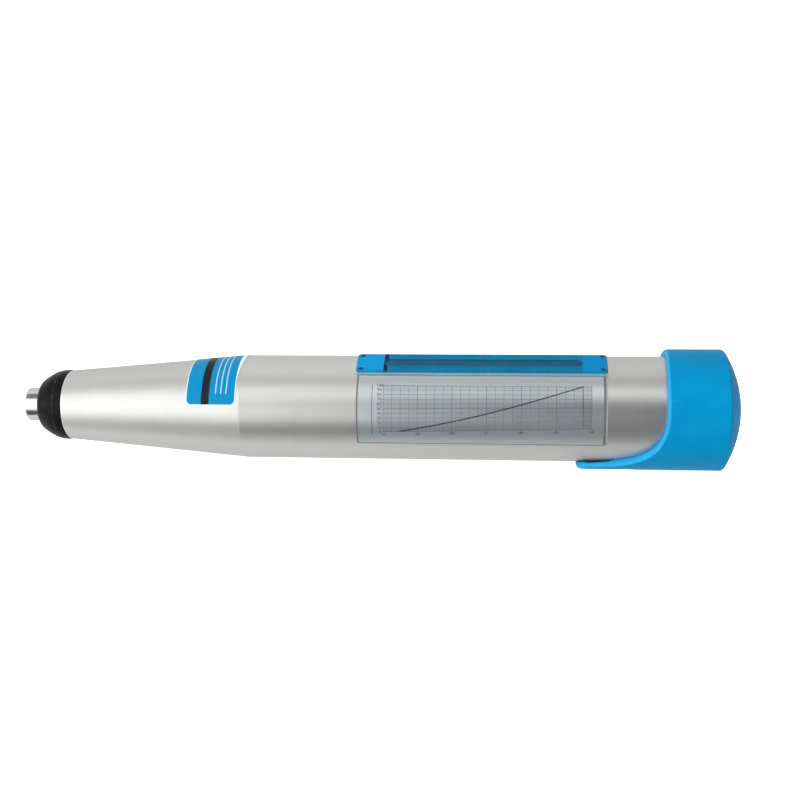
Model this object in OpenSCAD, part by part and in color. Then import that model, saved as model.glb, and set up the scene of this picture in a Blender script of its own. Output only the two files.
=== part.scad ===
// Concrete test hammer: a rebound hammer that lies along X with its plunger towards -X.
// Lengths are in millimetres. Places along the axis are measured from the front edge of the
// nose cone, and the whole is then moved so that the origin is under its middle.

/* [Body] */
// Outside diameter of the barrel
barrel_d = 45.5; // [40:0.5:52]
// Wall of the barrel
barrel_wall = 3.25; // [2.8:0.05:4]
// Length of the nose cone
nose_len = 82; // [70:0.5:95]
// Diameter of the nose cone at its front edge
nose_d = 31; // [29:0.5:34]
// Wall at the front of the nose that the guide sleeve sits against
nose_wall = 5; // [3:0.5:8]
// Where the bore starts to open out behind the nose
bore_flare_start = 20; // [12:1:30]

/* [Front cap] */
// Outside diameter of the front cap
cap_d = 31.4; // [30:0.1:34]
// Diameter of the front cap's flat front
cap_front_d = 22.6; // [22:0.1:25]
// Length of the front cap
cap_len = 12.4; // [11.5:0.1:15]
// Thickness of the front cap's front wall
cap_wall = 1.5; // [1.2:0.1:2]
// Length of the plain band at the rear of the front cap
cap_band = 6.3; // [4:0.1:7]
// Diameter of the threaded spigot under the front cap
spigot_d = 26; // [25:0.1:28]
// Length of the threaded spigot
spigot_len = 6; // [4:0.1:7]
// Thickness of the split ring
split_ring_t = 2.2; // [1.5:0.1:2.5]

/* [Plunger] */
// Diameter of the plunger
plunger_d = 15; // [14:0.1:16]
// Radius of the round tip of the plunger
tip_radius = 25; // [20:1:40]
// Whole length of the plunger
plunger_len = 111; // [105:1:118]
// Length of the plunger that shows when it is pushed in
plunger_out = 8.6; // [6:0.1:12]
// Solid length at the front of the plunger
plunger_solid = 42.7; // [30:0.1:55]
// Travel of the plunger out of the body
stroke = 75; // [70:1:80]
// Travel of the plunger on the guide bar
buffer_travel = 4; // [2:0.5:6]
// Length of the buffer spring in the plunger
buffer_spring_len = 17.7; // [14:0.1:24]

/* [Hammer] */
// Diameter of the guide bar
bar_d = 10; // [8:0.1:11]
// Length of the impact spring
impact_spring_len = 61.5; // [55:0.5:66]
// Wire diameter of the impact spring
impact_wire = 2; // [1.5:0.1:2.2]
// Turns of the impact spring
impact_turns = 17; // [12:1:20]
// Length of the hammer's front neck
neck_len = 13.7; // [11:0.1:18]
// Length of the hammer's wide body
hammer_body_len = 16.9; // [12:0.1:22]
// Length of the hammer's middle part
hammer_mid_len = 16; // [12:0.5:20]
// Diameter of the hammer's middle part
hammer_mid_d = 27; // [25:0.5:29]
// Length of the groove that the pawl drops into
catch_groove_len = 9; // [7:0.5:12]
// Diameter in the groove
catch_groove_d = 19; // [17:0.5:20]
// Diameter of the flange that the pawl catches
catch_flange_d = 24; // [23:0.5:25]
// Thickness of the flange that the pawl catches
catch_flange_t = 5; // [3:0.5:7]

/* [Guide disk] */
// Thickness of the guide disk
disk_t = 12; // [10.5:0.5:16]
// Length of the hub in front of the guide disk
hub_len = 8; // [6:0.5:12]
// Diameter of the hub
hub_d = 17; // [15:0.5:18]
// Depth of the lock groove in the rim of the disk
lock_groove_depth = 2.9; // [2.4:0.1:3.4]
// Thickness of the pawl
pawl_t = 6; // [4:0.5:8]
// Diameter of the pawl's pivot pin
pawl_pin_d = 3; // [2:0.1:3.4]
// Height of the pawl's arm
pawl_arm_h = 2.9; // [2:0.1:3.2]
// Length of the compression spring when the plunger is in
press_spring_len = 31.4; // [28:0.1:45]
// Wire diameter of the compression spring
press_wire = 1.8; // [1.4:0.1:2]
// Turns of the compression spring
press_turns = 11; // [8:1:12]

/* [Rear cover] */
// Length of thread that the rear cover has in the barrel
cover_thread_len = 14; // [10:0.5:20]
// Thickness of the rear cover's rim
cover_rim_t = 4; // [3:0.5:6]
// Depth from the rim's front face to the rear cover's floor
cover_depth = 5; // [4.5:0.5:9]
// Thickness of the rear cover's floor
cover_floor_t = 3.5; // [3:0.5:6]
// Diameter of the trip screw
trip_screw_d = 6; // [5:0.5:7]
// Height of the lock nut
nut_h = 3.2; // [2.5:0.1:5]
// Width of the lock nut across its flats
nut_af = 10; // [9:0.5:12]

/* [End boot] */
// Wall of the end boot over the barrel
boot_wall = 3.25; // [3:0.05:5]
// Length of barrel that the end boot covers
boot_grip = 17.3; // [14:0.1:22]
// Thickness of the end boot's rear wall
boot_end_t = 3.5; // [3:0.1:5]
// Rise of the end boot's domed end
dome_rise = 6.9; // [5.5:0.1:8]
// Distance from the button's middle to the tip of the tongue
tongue_reach = 20; // [15:0.5:26]
// Width of the tongue
tongue_w = 19; // [18:0.5:26]
// Corner radius of the tongue's tip
tongue_corner = 4; // [3:0.5:6]
// Radius of the flare from the tongue into the boot
flare_radius = 37.5; // [30:0.5:40]
// Room between the tongue and the barrel
tongue_gap = 1.25; // [0.8:0.05:1.5]
// Length of that room, from the tip of the tongue
tongue_gap_len = 14; // [13.5:0.5:18]
// Depth of the flat along the underside of the boot
rest_flat = 0.5; // [0.3:0.1:0.7]

/* [Push button] */
// Diameter of the push button's head
button_d = 12.6; // [10:0.1:13.4]
// Travel of the push button
button_travel = 2; // [1.6:0.1:2.1]
// Diameter of the lock pin under the button
lock_pin_d = 6; // [5:0.1:6.4]
// Wall left under the button's pocket in the barrel
button_floor = 1.1; // [0.9:0.1:1.4]

/* [Scale] */
// Turn of the scale about the axis, from straight up towards the front
scale_tilt = 34; // [0:1:60]
// Length of the scale, which is the rider's travel
scale_len = 75; // [70:1:80]
// Distance from the rider's lug to its index mark
pointer_len = 20; // [18:0.5:24]
// Length of the rider
rider_len = 7; // [5:0.5:8]
// Width of the slot in the barrel
slot_w = 7; // [6:0.1:8]
// Width of the opening in the scale plate
opening_w = 5.8; // [4.5:0.1:6.2]
// Width of the scale plate
plate_w = 12.4; // [12:0.1:14]
// Thickness of the scale plate
plate_t = 1; // [0.9:0.1:1.6]
// Length of plate in front of the opening
plate_front = 11.4; // [9:0.1:14]
// Length of plate behind the opening
plate_rear = 9.6; // [8:0.1:14]
// Thickness of the window
window_t = 0.55; // [0.4:0.05:0.7]
// Height of the flat for the scale plate above the barrel
flat_rise = 0.65; // [0.4:0.05:1]
// Diameter of the rod that the rider runs on
rod_d = 2.3; // [1.8:0.1:2.6]

/* [Chart and label] */
// Angle of the chart plate's lower edge below the front
chart_low_angle = 38; // [30:0.5:50]
// Angle of the chart plate's upper edge above the front
chart_high_angle = 38.5; // [30:0.5:40]
// Thickness of the chart plate
chart_t = 0.3; // [0.2:0.05:0.5]
// Length of the name label along the nose cone
label_len = 22.1; // [18:0.1:26]
// Gap from the label to the barrel
label_inset = 1.5; // [1:0.1:4]
// Angle of the label's lower edge above the front
label_low_angle = 6.5; // [0:0.5:20]
// Angle of the label's upper edge above the front
label_high_angle = 110.5; // [90:0.5:130]
// Thickness of the label
label_t = 0.12; // [0.08:0.01:0.14]

/* [Clearances] */
// Radial room in a running fit
run_gap = 0.06; // [0.03:0.01:0.09]
// Room between pieces that are pressed or screwed together
seat_gap = 0.05; // [0.02:0.01:0.08]
// Room between pieces that pass each other
free_gap = 0.3; // [0.25:0.05:0.4]
// Room for the glue under the chart plate and the label
glue_gap = 0.02; // [0.01:0.01:0.03]

/* [Hidden] */

round_fn = 96;
spring_rings = 8;
spring_sides = 6;

// Long enough for a cut to pass out of any piece
cut_r = barrel_d;

// Radii of the body, from the outside in
barrel_r = barrel_d / 2;
bore_r = barrel_r - barrel_wall;
nose_r = nose_d / 2;
plunger_r = plunger_d / 2;
bar_r = bar_d / 2;
sleeve_bore_r = plunger_r + run_gap;
spring_hub_wall = 1.64;
spring_hub_r = sleeve_bore_r + spring_hub_wall;
// A spring's chords come nearer to the axis than its bends do
chord = cos(180 / spring_rings);
impact_mean_r = (spring_hub_r + free_gap + impact_wire / 2) / chord;
sleeve_r = impact_mean_r + impact_wire / 2 + 0.2;
sleeve_neck_r = spigot_d / 2 - 2.5;
cap_hole_r = plunger_r + 0.5;
cap_bore_r = spigot_d / 2 + seat_gap;
cap_groove = 0.4;
split_gap = 1;
cap_groove_r = cap_d / 2 - 0.7;
cap_nose_r = cap_d / 2 - 0.6;
cap_chamfer = 0.5;
// Below 1 the cap's front bulges; at 1 it would be a plain cone
cap_bulge = 0.75;
cap_steps = 6;
felt_pocket_r = sleeve_neck_r + 0.9;
ring_groove_r = sleeve_neck_r - 0.9;
hammer_r = bore_r - 1;
disk_r = bore_r - run_gap;
thread_r = bore_r + 0.7;

// Places along the axis, from the front
tip_x = -(cap_len + plunger_out);
plunger_rear = tip_x + plunger_len;
bar_front = tip_x + plunger_solid + buffer_spring_len + 2 * free_gap;
hammer_front = plunger_rear + buffer_travel + free_gap;
hammer_seat = hammer_front + neck_len;
sleeve_seat = hammer_seat - impact_spring_len - 2 * free_gap;
sleeve_hub_len = 10;
hammer_shoulder = hammer_seat + hammer_body_len;
groove_x = hammer_shoulder + hammer_mid_len;
catch_x = groove_x + catch_groove_len;
hammer_rear = catch_x + catch_flange_t;
hub_room = 2;
hub_x = hammer_rear + stroke + hub_room;
disk_x = hub_x + hub_len;
disk_rear = disk_x + disk_t;
press_spring_x = disk_rear + free_gap;
floor_x = press_spring_x + press_spring_len + free_gap;
body_end = floor_x - cover_depth;
cover_rear = floor_x + cover_floor_t;
screw_end = cover_rear + nut_h + 0.5;
boot_inner_end = screw_end + free_gap;
boot_end = boot_inner_end + boot_end_t;
boot_front = body_end - boot_grip;
bore_front = nose_len + 3;
ring_front = -(spigot_len + split_ring_t);
sleeve_front = ring_front - 1;
cap_recess_x = ring_front - free_gap;
x_mid = (tip_x + boot_end) / 2;

// Pawl: its pivot, its tooth and its tail, as distances along and out from the axis
pawl_boss_r = 4;
pivot_x = disk_x + disk_t - pawl_boss_r;
pivot_z = catch_flange_d / 2;
tooth_x = catch_x + stroke - free_gap;
tooth_len = 4.2;
tooth_ramp = 2;
tooth_z = catch_groove_d / 2 + 0.4;
arm_z = catch_flange_d / 2 + 0.5;
tail_inside = 2;
tail_outside = 4;
tail_front = disk_rear - tail_inside;
tail_rear = disk_rear + tail_outside;
tail_half = bar_r / 2;
bar_seat_len = 4;
bar_rear = disk_x + bar_seat_len;
pawl_roll = scale_tilt - 180;
pawl_slot_w = pawl_t + 2 * free_gap;
pawl_wire = 0.6;
pawl_spring_r = 1.8;
pawl_turns = 4;
lock_groove_margin = (disk_t - lock_pin_d) / 2 - 0.4;
bar_pin_d = 3;
bar_pin_x = hub_x + hub_len / 2;
press_mean_r = bore_r - 4;
cover_bore_r = press_mean_r + press_wire / 2 + 0.8;
cover_floor_r = bore_r;
screw_hole_r = trip_screw_d / 2 + seat_gap;

// Buffer spring in the plunger's bore
plunger_bore_r = bar_r + run_gap;
buffer_wire = 1.2;
buffer_turns = 6;
buffer_mean_r = plunger_bore_r - buffer_wire / 2 - 0.26;

// End boot and push button, as distances out from the axis
boot_r = barrel_r + boot_wall;
axis_h = boot_r - rest_flat;
button_x = disk_x + disk_t / 2;
tongue_tip = button_x - tongue_reach;
tongue_inner_r = barrel_r + tongue_gap;
boot_bore_r = barrel_r + seat_gap;
flare_rise = boot_r - tongue_w / 2;
flare_x = boot_front - sqrt(pow(flare_radius, 2) - pow(flare_radius - flare_rise, 2));
dome_edge = 0.9;
dome_r0 = boot_r - dome_edge;
dome_radius = (pow(dome_r0, 2) + pow(dome_rise, 2)) / (2 * dome_rise);
button_r = button_d / 2;
button_flange_r = button_r + 1.2;
button_pocket_r = button_flange_r + free_gap;
button_pocket_z = bore_r + button_floor;
button_seat_z = tongue_inner_r;
button_flange_top = button_seat_z - 0.15;
button_flange_z = button_flange_top - 0.65;
button_top = axis_h - 0.3;
button_ceiling = button_flange_top + 0.45;
lock_pin_r = lock_pin_d / 2;
lock_pin_tip = bore_r + free_gap;
button_wire = 0.5;
button_turns = 2.25;
button_mean_r = (lock_pin_r + free_gap + button_wire / 2) / chord;
button_recess_r = button_mean_r + button_wire / 2 + free_gap;

// Scale: heights are distances out from the axis
flat_top = barrel_r + flat_rise;
flat_w = plate_w - 0.6;
mark_x = hammer_shoulder + pointer_len;
rider_x = mark_x - rider_len / 2;
opening_x = mark_x - 1;
opening_len = scale_len + rider_len + 1.4;
plate_x = opening_x - plate_front;
plate_len = plate_front + opening_len + plate_rear;
rod_block_len = 3.6;
slot_x = rider_x - free_gap - rod_block_len - 0.7;
slot_end_room = 4.3;
slot_end = rider_x + rider_len + scale_len + free_gap + rod_block_len + slot_end_room;
rebate_w = slot_w + 1;
rebate_x = opening_x - 1.5;
rebate_len = opening_len + 3;
rod_z = flat_top - 2.1;
rider_top = flat_top - free_gap;
rider_bottom = bore_r - 0.7;
tab_t = 0.6;
tab_w = 4;
lug_t = 0.8;
lug_x = hammer_shoulder + free_gap;
lug_reach = hammer_mid_d / 2 + 1.5;
screw_shank_d = 1.5;
screw_head_d = 2.2;
screw_head_t = 0.5;
screw_inset = 1.7;
screw_bite = 0.8;
screw_shank = screw_bite + plate_t - screw_head_t;

// Turns a profile of [radius, place along the axis] about the axis
module turned(profile) {
    rotate([0, 90, 0])
        rotate_extrude($fn = round_fn)
            polygon(profile);
}

// Turns a profile through part of a turn, between two angles above the front
module turned_part(profile, low, high) {
    rotate([0, 90, 0])
        rotate([0, 0, 270 - high])
            rotate_extrude(angle = high - low, $fn = round_fn)
                polygon(profile);
}

// Round bar along the axis
module rod(radius, from, to) {
    translate([from, 0, 0])
        rotate([0, 90, 0])
            cylinder(r = radius, h = to - from, $fn = round_fn);
}

// Block given by where it starts and ends along the axis and out from it
module block(from, to, width, low, high) {
    translate([from, -width / 2, low])
        cube([to - from, width, high - low]);
}

// Upright pin out from the axis
module post(x, y, radius, low, high) {
    translate([x, y, low])
        cylinder(r = radius, h = high - low, $fn = round_fn);
}

// Turns a piece so that straight up becomes the scale's direction
module at_scale() {
    rotate([scale_tilt, 0, 0])
        children();
}

// Turns a piece so that straight up becomes the pawl's direction
module at_pawl() {
    rotate([pawl_roll, 0, 0])
        children();
}

// Turns a piece so that straight up becomes the button's direction, straight down
module at_button() {
    rotate([180, 0, 0])
        children();
}

// Centres of a spring's rings: a helix about the axis
function helix_point(i, from, pitch, mean_r) =
    let (turn = 360 * i / spring_rings)
        [from + pitch * i / spring_rings, mean_r * cos(turn), mean_r * sin(turn)];

// Point j on ring i of a spring's wire
function wire_point(i, j, from, pitch, mean_r, wire_r) =
    let (turn = 360 * i / spring_rings, side = 360 * (j + 0.5) / spring_sides)
        helix_point(i, from, pitch, mean_r + wire_r * cos(side)) + [wire_r * sin(side), 0, 0];

// Coil spring along the axis: one unbroken tube from its front to its rear
module coil(from, length, mean_r, wire, turns, name) {
    wire_r = wire / 2;
    pitch = (length - wire) / turns;
    rings = round(turns * spring_rings);
    start = from + wire_r;
    points = [for (i = [0:rings], j = [0:spring_sides - 1])
        wire_point(i, j, start, pitch, mean_r, wire_r)];
    sides = [for (i = [0:rings - 1], j = [0:spring_sides - 1], half = [0, 1])
        let (a = i * spring_sides + j,
             b = i * spring_sides + (j + 1) % spring_sides,
             c = b + spring_sides,
             d = a + spring_sides)
            half == 0 ? [a, c, b] : [a, d, c]];
    last = rings * spring_sides;
    front = [for (j = [1:spring_sides - 2]) [0, j, j + 1]];
    rear = [for (j = [1:spring_sides - 2]) [last, last + j + 1, last + j]];
    polyhedron(points = points, faces = concat(sides, front, rear));
    ring = [for (j = [0:spring_sides - 1]) wire_point(0, j, start, pitch, mean_r, wire_r)];
    next_turn = [for (i = [spring_rings - 2:spring_rings + 2], j = [0:spring_sides - 1])
        wire_point(i, j, start, pitch, mean_r, wire_r)];
    gap = min([for (p = ring, q = next_turn) norm(p - q)]);
    echo(str(name, " least gap between turns: ", gap));
}

// One-piece body: nose cone, barrel, and the flat that carries the scale
module housing() {
    inner_r = sleeve_r + seat_gap;
    hole_r = sleeve_neck_r + seat_gap;
    color("silver")
    difference() {
        union() {
            turned([[hole_r, -spigot_len], [spigot_d / 2, -spigot_len], [spigot_d / 2, 0],
                    [nose_r, 0], [barrel_r, nose_len], [barrel_r, body_end],
                    [thread_r, body_end], [thread_r, body_end - cover_thread_len - 1],
                    [bore_r, body_end - cover_thread_len - 1], [bore_r, bore_front],
                    [inner_r, bore_flare_start], [inner_r, nose_wall], [hole_r, nose_wall]]);
            at_scale()
                block(plate_x - 0.6, plate_x + plate_len + 0.6, flat_w, bore_r + 1.7, flat_top);
        }
        at_scale() {
            block(slot_x, slot_end, slot_w, bore_r / 2, cut_r);
            plate_corners()
                cylinder(d = screw_shank_d, h = cut_r, $fn = round_fn);
        }
        at_button() {
            post(button_x, 0, lock_pin_r + run_gap, bore_r / 2, cut_r);
            post(button_x, 0, button_pocket_r, button_pocket_z, cut_r);
        }
    }
}

// Repeats a piece at the scale plate's four screws
module plate_corners() {
    for (x = [plate_x + screw_inset, plate_x + plate_len - screw_inset])
        for (side = [-1, 1])
            translate([x, side * (plate_w / 2 - screw_inset), flat_top - screw_bite])
                children();
}

// Black cap screwed on the nose, with a rounded front
module front_cap() {
    rise = cap_nose_r - cap_front_d / 2;
    run = cap_len - cap_band - cap_groove;
    front_arc = [for (i = [0:cap_steps])
        [cap_front_d / 2 + rise * pow(i / cap_steps, cap_bulge), -cap_len + run * i / cap_steps]];
    color("#202124")
    turned(concat(
        [[cap_hole_r, -cap_len]],
        front_arc,
        [[cap_groove_r, -cap_band - cap_groove / 2], [cap_d / 2, -cap_band],
         [cap_d / 2, -cap_chamfer], [cap_d / 2 - cap_chamfer, 0],
         [cap_bore_r, 0], [cap_bore_r, cap_recess_x], [felt_pocket_r, cap_recess_x],
         [felt_pocket_r, -cap_len + cap_wall], [cap_hole_r, -cap_len + cap_wall]]));
}

// Felt ring that keeps dust off the plunger
module felt_washer() {
    front = -cap_len + cap_wall + seat_gap;
    rear = sleeve_front - seat_gap;
    outer_r = felt_pocket_r - seat_gap;
    color("dimgray")
    turned([[plunger_r + free_gap, front], [outer_r, front], [outer_r, rear],
            [plunger_r + free_gap, rear]]);
}

// Ring in two halves that holds the guide sleeve in the nose
module split_ring() {
    color("darkgray")
    difference() {
        turned([[ring_groove_r + seat_gap, ring_front + seat_gap],
                [spigot_d / 2 - 0.4, ring_front + seat_gap],
                [spigot_d / 2 - 0.4, -spigot_len], [ring_groove_r + seat_gap, -spigot_len]]);
        block(ring_front - 1, -spigot_len + 1, split_gap, -cut_r, cut_r);
    }
}

// Sleeve that guides the plunger and seats the impact spring
module guide_sleeve() {
    color("darkgray")
    turned([[sleeve_bore_r, sleeve_front], [sleeve_neck_r, sleeve_front],
            [sleeve_neck_r, ring_front], [ring_groove_r, ring_front],
            [ring_groove_r, -spigot_len], [sleeve_neck_r, -spigot_len],
            [sleeve_neck_r, nose_wall], [sleeve_r, nose_wall], [sleeve_r, sleeve_seat],
            [spring_hub_r, sleeve_seat], [spring_hub_r, sleeve_seat + sleeve_hub_len],
            [sleeve_bore_r, sleeve_seat + sleeve_hub_len]]);
}

// Steel plunger with a round tip, bored from behind for the guide bar
module plunger() {
    color("gainsboro")
    difference() {
        intersection() {
            rod(plunger_r, tip_x, plunger_rear);
            union() {
                translate([tip_x + tip_radius, 0, 0])
                    sphere(r = tip_radius, $fn = round_fn);
                rod(tip_radius, tip_x + tip_radius, plunger_rear + 1);
            }
        }
        rod(plunger_bore_r, tip_x + plunger_solid, plunger_rear + 1);
    }
}

// Small spring between the guide bar and the plunger
module buffer_spring() {
    color("slategray")
    coil(tip_x + plunger_solid + free_gap, buffer_spring_len, buffer_mean_r, buffer_wire,
         buffer_turns, "buffer spring");
}

// Spring that pulls the hammer against the plunger
module impact_spring() {
    color("slategray")
    coil(sleeve_seat + free_gap, impact_spring_len, impact_mean_r, impact_wire, impact_turns,
         "impact spring");
}

// Steel hammer that slides on the guide bar
module hammer_mass() {
    hole_r = bar_r + run_gap;
    chamfer = 1;
    color("lightsteelblue")
    turned([[hole_r, hammer_front], [spring_hub_r, hammer_front], [spring_hub_r, hammer_seat],
            [hammer_r, hammer_seat], [hammer_r, hammer_shoulder],
            [hammer_mid_d / 2, hammer_shoulder], [hammer_mid_d / 2, groove_x],
            [catch_groove_d / 2, groove_x], [catch_groove_d / 2, catch_x],
            [catch_flange_d / 2, catch_x], [catch_flange_d / 2, hammer_rear - chamfer],
            [catch_flange_d / 2 - chamfer, hammer_rear], [hole_r, hammer_rear]]);
}

// Bar that carries the hammer from the plunger to the guide disk
module guide_bar() {
    color("gainsboro")
    difference() {
        rod(bar_r, bar_front, bar_rear);
        cross_pin(bar_pin_d / 2 + seat_gap, hub_d + 2);
    }
}

// Round bar across the hub: the pin that fixes the guide bar, or its hole
module cross_pin(radius, length) {
    at_pawl()
        translate([bar_pin_x, 0, 0])
            rotate([90, 0, 0])
                cylinder(r = radius, h = length, center = true, $fn = round_fn);
}

// Disk that slides in the barrel and carries the pawl
module guide_disk() {
    groove_r = disk_r - lock_groove_depth;
    seat_r = bar_r + seat_gap;
    color("slategray")
    difference() {
        turned([[seat_r, hub_x], [hub_d / 2, hub_x], [hub_d / 2, disk_x], [disk_r, disk_x],
                [disk_r, disk_x + lock_groove_margin], [groove_r, disk_x + lock_groove_margin],
                [groove_r, disk_rear - lock_groove_margin],
                [disk_r, disk_rear - lock_groove_margin], [disk_r, disk_rear],
                [seat_r, disk_rear]]);
        at_pawl() {
            block(disk_x - 1, disk_rear + 1, pawl_slot_w, pivot_z - pawl_boss_r - 0.5, cut_r);
            block(tail_front - 1.8, disk_rear + 1, pawl_slot_w, -tail_half - 1.6, pivot_z);
            pivot_axis()
                cylinder(r = pawl_pin_d / 2 + seat_gap, h = 2 * disk_r, center = true, $fn = round_fn);
        }
        cross_pin(bar_pin_d / 2 + seat_gap, hub_d + 2);
    }
}

// Pin that fixes the guide bar in the hub
module bar_pin() {
    color("gainsboro")
    cross_pin(bar_pin_d / 2, hub_d - 1);
}

// Puts a piece on the pawl's pivot, along the pivot
module pivot_axis() {
    translate([pivot_x, 0, pivot_z])
        rotate([90, 0, 0])
            children();
}

// Bent lever that catches the hammer and lets it go when the trip screw pushes its tail
module pawl() {
    tooth_front = tooth_x - tooth_len;
    color("goldenrod")
    at_pawl()
    difference() {
        union() {
            rotate([90, 0, 0])
                linear_extrude(height = pawl_t, center = true)
                    polygon([[tooth_front, tooth_z], [tooth_x, tooth_z], [tooth_x, arm_z],
                             [pivot_x - pawl_boss_r + 1, arm_z],
                             [tail_front, pivot_z - pawl_boss_r + 0.6],
                             [tail_front, -tail_half], [tail_rear, -tail_half],
                             [tail_rear, pivot_z / 2],
                             [pivot_x + pawl_boss_r - 0.6, pivot_z - 1],
                             [pivot_x, arm_z + pawl_arm_h],
                             [tooth_front - tooth_ramp, arm_z + pawl_arm_h],
                             [tooth_front - tooth_ramp, arm_z + 0.5]]);
            pivot_axis()
                cylinder(r = pawl_boss_r, h = pawl_t, center = true, $fn = round_fn);
        }
        pivot_axis()
            cylinder(r = pawl_pin_d / 2 + run_gap, h = pawl_t + 1, center = true, $fn = round_fn);
    }
}

// Pivot pin of the pawl
module pawl_pin() {
    half = sqrt(pow(disk_r - lock_groove_depth, 2) - pow(pivot_z, 2)) - 0.8;
    color("gainsboro")
    at_pawl()
        pivot_axis()
            cylinder(d = pawl_pin_d, h = 2 * half, center = true, $fn = round_fn);
}

// Small spring that keeps the pawl's tooth towards the hammer
module pawl_spring() {
    color("slategray")
    coil(bar_rear + free_gap, tail_front - bar_rear - 2 * free_gap, pawl_spring_r, pawl_wire,
         pawl_turns, "pawl spring");
}

// Spring that pushes the plunger out
module compression_spring() {
    color("slategray")
    coil(press_spring_x, press_spring_len, press_mean_r, press_wire, press_turns,
         "compression spring");
}

// Cup screwed into the rear of the barrel
module rear_cover() {
    thread_front = body_end - cover_thread_len;
    color("silver")
    turned([[cover_bore_r, thread_front], [thread_r - seat_gap, thread_front],
            [thread_r - seat_gap, body_end], [barrel_r - seat_gap, body_end],
            [barrel_r - seat_gap, body_end + cover_rim_t],
            [cover_floor_r, body_end + cover_rim_t], [cover_floor_r, cover_rear],
            [screw_hole_r, cover_rear], [screw_hole_r, floor_x],
            [cover_bore_r, floor_x]]);
}

// Screw that trips the pawl at the end of the travel
module trip_screw() {
    driver_slot = 1;
    point = 1;
    tip = tail_rear + free_gap;
    color("dimgray")
    difference() {
        turned([[0, tip], [trip_screw_d / 2 - point, tip], [trip_screw_d / 2, tip + point],
                [trip_screw_d / 2, screw_end], [0, screw_end]]);
        block(screw_end - 1, screw_end + 1, driver_slot, -trip_screw_d, trip_screw_d);
    }
}

// Nut that locks the trip screw
module lock_nut() {
    color("gainsboro")
    difference() {
        translate([cover_rear, 0, 0])
            rotate([0, 90, 0])
                cylinder(d = nut_af / cos(30), h = nut_h, $fn = 6);
        rod(screw_hole_r, cover_rear - 1, cover_rear + nut_h + 1);
    }
}

// Plan of the end boot from below: the boot, its tongue, and the flares between them
module boot_plan() {
    half = tongue_w / 2;
    translate([boot_front, -cut_r])
        square([cut_r, 2 * cut_r]);
    translate([tongue_tip + tongue_corner, -half])
        square([boot_front - tongue_tip, tongue_w]);
    translate([tongue_tip, -half + tongue_corner])
        square([boot_front - tongue_tip, tongue_w - 2 * tongue_corner]);
    for (side = [-1, 1])
        translate([tongue_tip + tongue_corner, side * (half - tongue_corner)])
            circle(r = tongue_corner, $fn = round_fn);
    difference() {
        translate([flare_x, -cut_r])
            square([boot_front - flare_x + 1, 2 * cut_r]);
        for (side = [-1, 1])
            translate([flare_x, side * (half + flare_radius)])
                circle(r = flare_radius, $fn = round_fn);
    }
}

// Blue boot over the rear of the barrel, with a tongue along the underside
module end_boot() {
    sweep = asin(dome_r0 / dome_radius);
    dome = [for (i = [0:8]) let (a = sweep * (1 - i / 8))
        [dome_radius * sin(a), boot_end - dome_radius * (1 - cos(a))]];
    start = tongue_tip - 1;
    color("#0a93d4")
    difference() {
        turned(concat([[0, start], [boot_r, start], [boot_r, boot_end - dome_rise - dome_edge]],
                      dome));
        turned([[0, start - 1], [boot_bore_r, start - 1], [boot_bore_r, body_end + cover_rim_t + 0.4],
                [cover_floor_r + 0.5, body_end + cover_rim_t + 0.4],
                [cover_floor_r + 0.5, cover_rear + 0.3], [nut_af, boot_inner_end],
                [0, boot_inner_end]]);
        rod(tongue_inner_r, start - 1, tongue_tip + tongue_gap_len);
        block(start - 1, boot_front, 2 * cut_r, 0, cut_r);
        translate([0, 0, -cut_r])
            linear_extrude(height = cut_r + 1)
                difference() {
                    translate([start - 1, -cut_r])
                        square([boot_front - start + 1, 2 * cut_r]);
                    boot_plan();
                }
        block(start - 1, boot_end + 1, 2 * cut_r, -cut_r, -axis_h);
        at_button() {
            post(button_x, 0, button_r + free_gap, barrel_r, cut_r);
            post(button_x, 0, button_pocket_r, barrel_r / 2, button_seat_z);
        }
    }
}

// Button in the tongue
module push_button() {
    color("#0a7ab8")
    at_button()
    difference() {
        union() {
            post(button_x, 0, button_flange_r, button_flange_z, button_flange_top);
            post(button_x, 0, button_r, button_flange_z, button_top);
        }
        post(button_x, 0, button_recess_r, button_flange_z - 1, button_ceiling);
    }
}

// Pin under the button that enters the guide disk's groove and locks it
module lock_pin() {
    color("gainsboro")
    at_button()
        post(button_x, 0, lock_pin_r, lock_pin_tip, button_ceiling);
}

// Spring that lifts the button
module button_spring() {
    length = button_ceiling - button_pocket_z - 2 * free_gap;
    color("slategray")
    at_button()
        translate([button_x, 0, button_pocket_z + free_gap])
            rotate([0, -90, 0])
                coil(0, length, button_mean_r, button_wire, button_turns, "button spring");
}

// Blue plate that frames the rider's window
module scale_plate() {
    end_r = opening_w / 2;
    color("#0a93d4")
    at_scale()
    difference() {
        block(plate_x, plate_x + plate_len, plate_w, flat_top, flat_top + plate_t);
        block(opening_x + end_r, opening_x + opening_len - end_r, opening_w, 0, cut_r);
        for (x = [opening_x + end_r, opening_x + opening_len - end_r])
            post(x, 0, end_r, 0, cut_r);
        block(rebate_x, rebate_x + rebate_len, rebate_w, 0, flat_top + window_t + seat_gap);
        plate_corners() {
            cylinder(d = screw_shank_d, h = cut_r, $fn = round_fn);
            translate([0, 0, screw_shank])
                cylinder(d = screw_head_d, h = cut_r, $fn = round_fn);
        }
    }
}

// Clear strip under the opening
module scale_window() {
    color("azure", 0.4)
    at_scale()
        block(rebate_x + 0.1, rebate_x + rebate_len - 0.1, rebate_w - 0.2, flat_top,
              flat_top + window_t);
}

// Four small screws that hold the scale plate
module scale_screws() {
    color("dimgray")
    at_scale()
        plate_corners() {
            cylinder(d = screw_shank_d, h = screw_shank, $fn = round_fn);
            translate([0, 0, screw_shank])
                cylinder(d = screw_head_d, h = screw_head_t, $fn = round_fn);
        }
}

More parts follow.
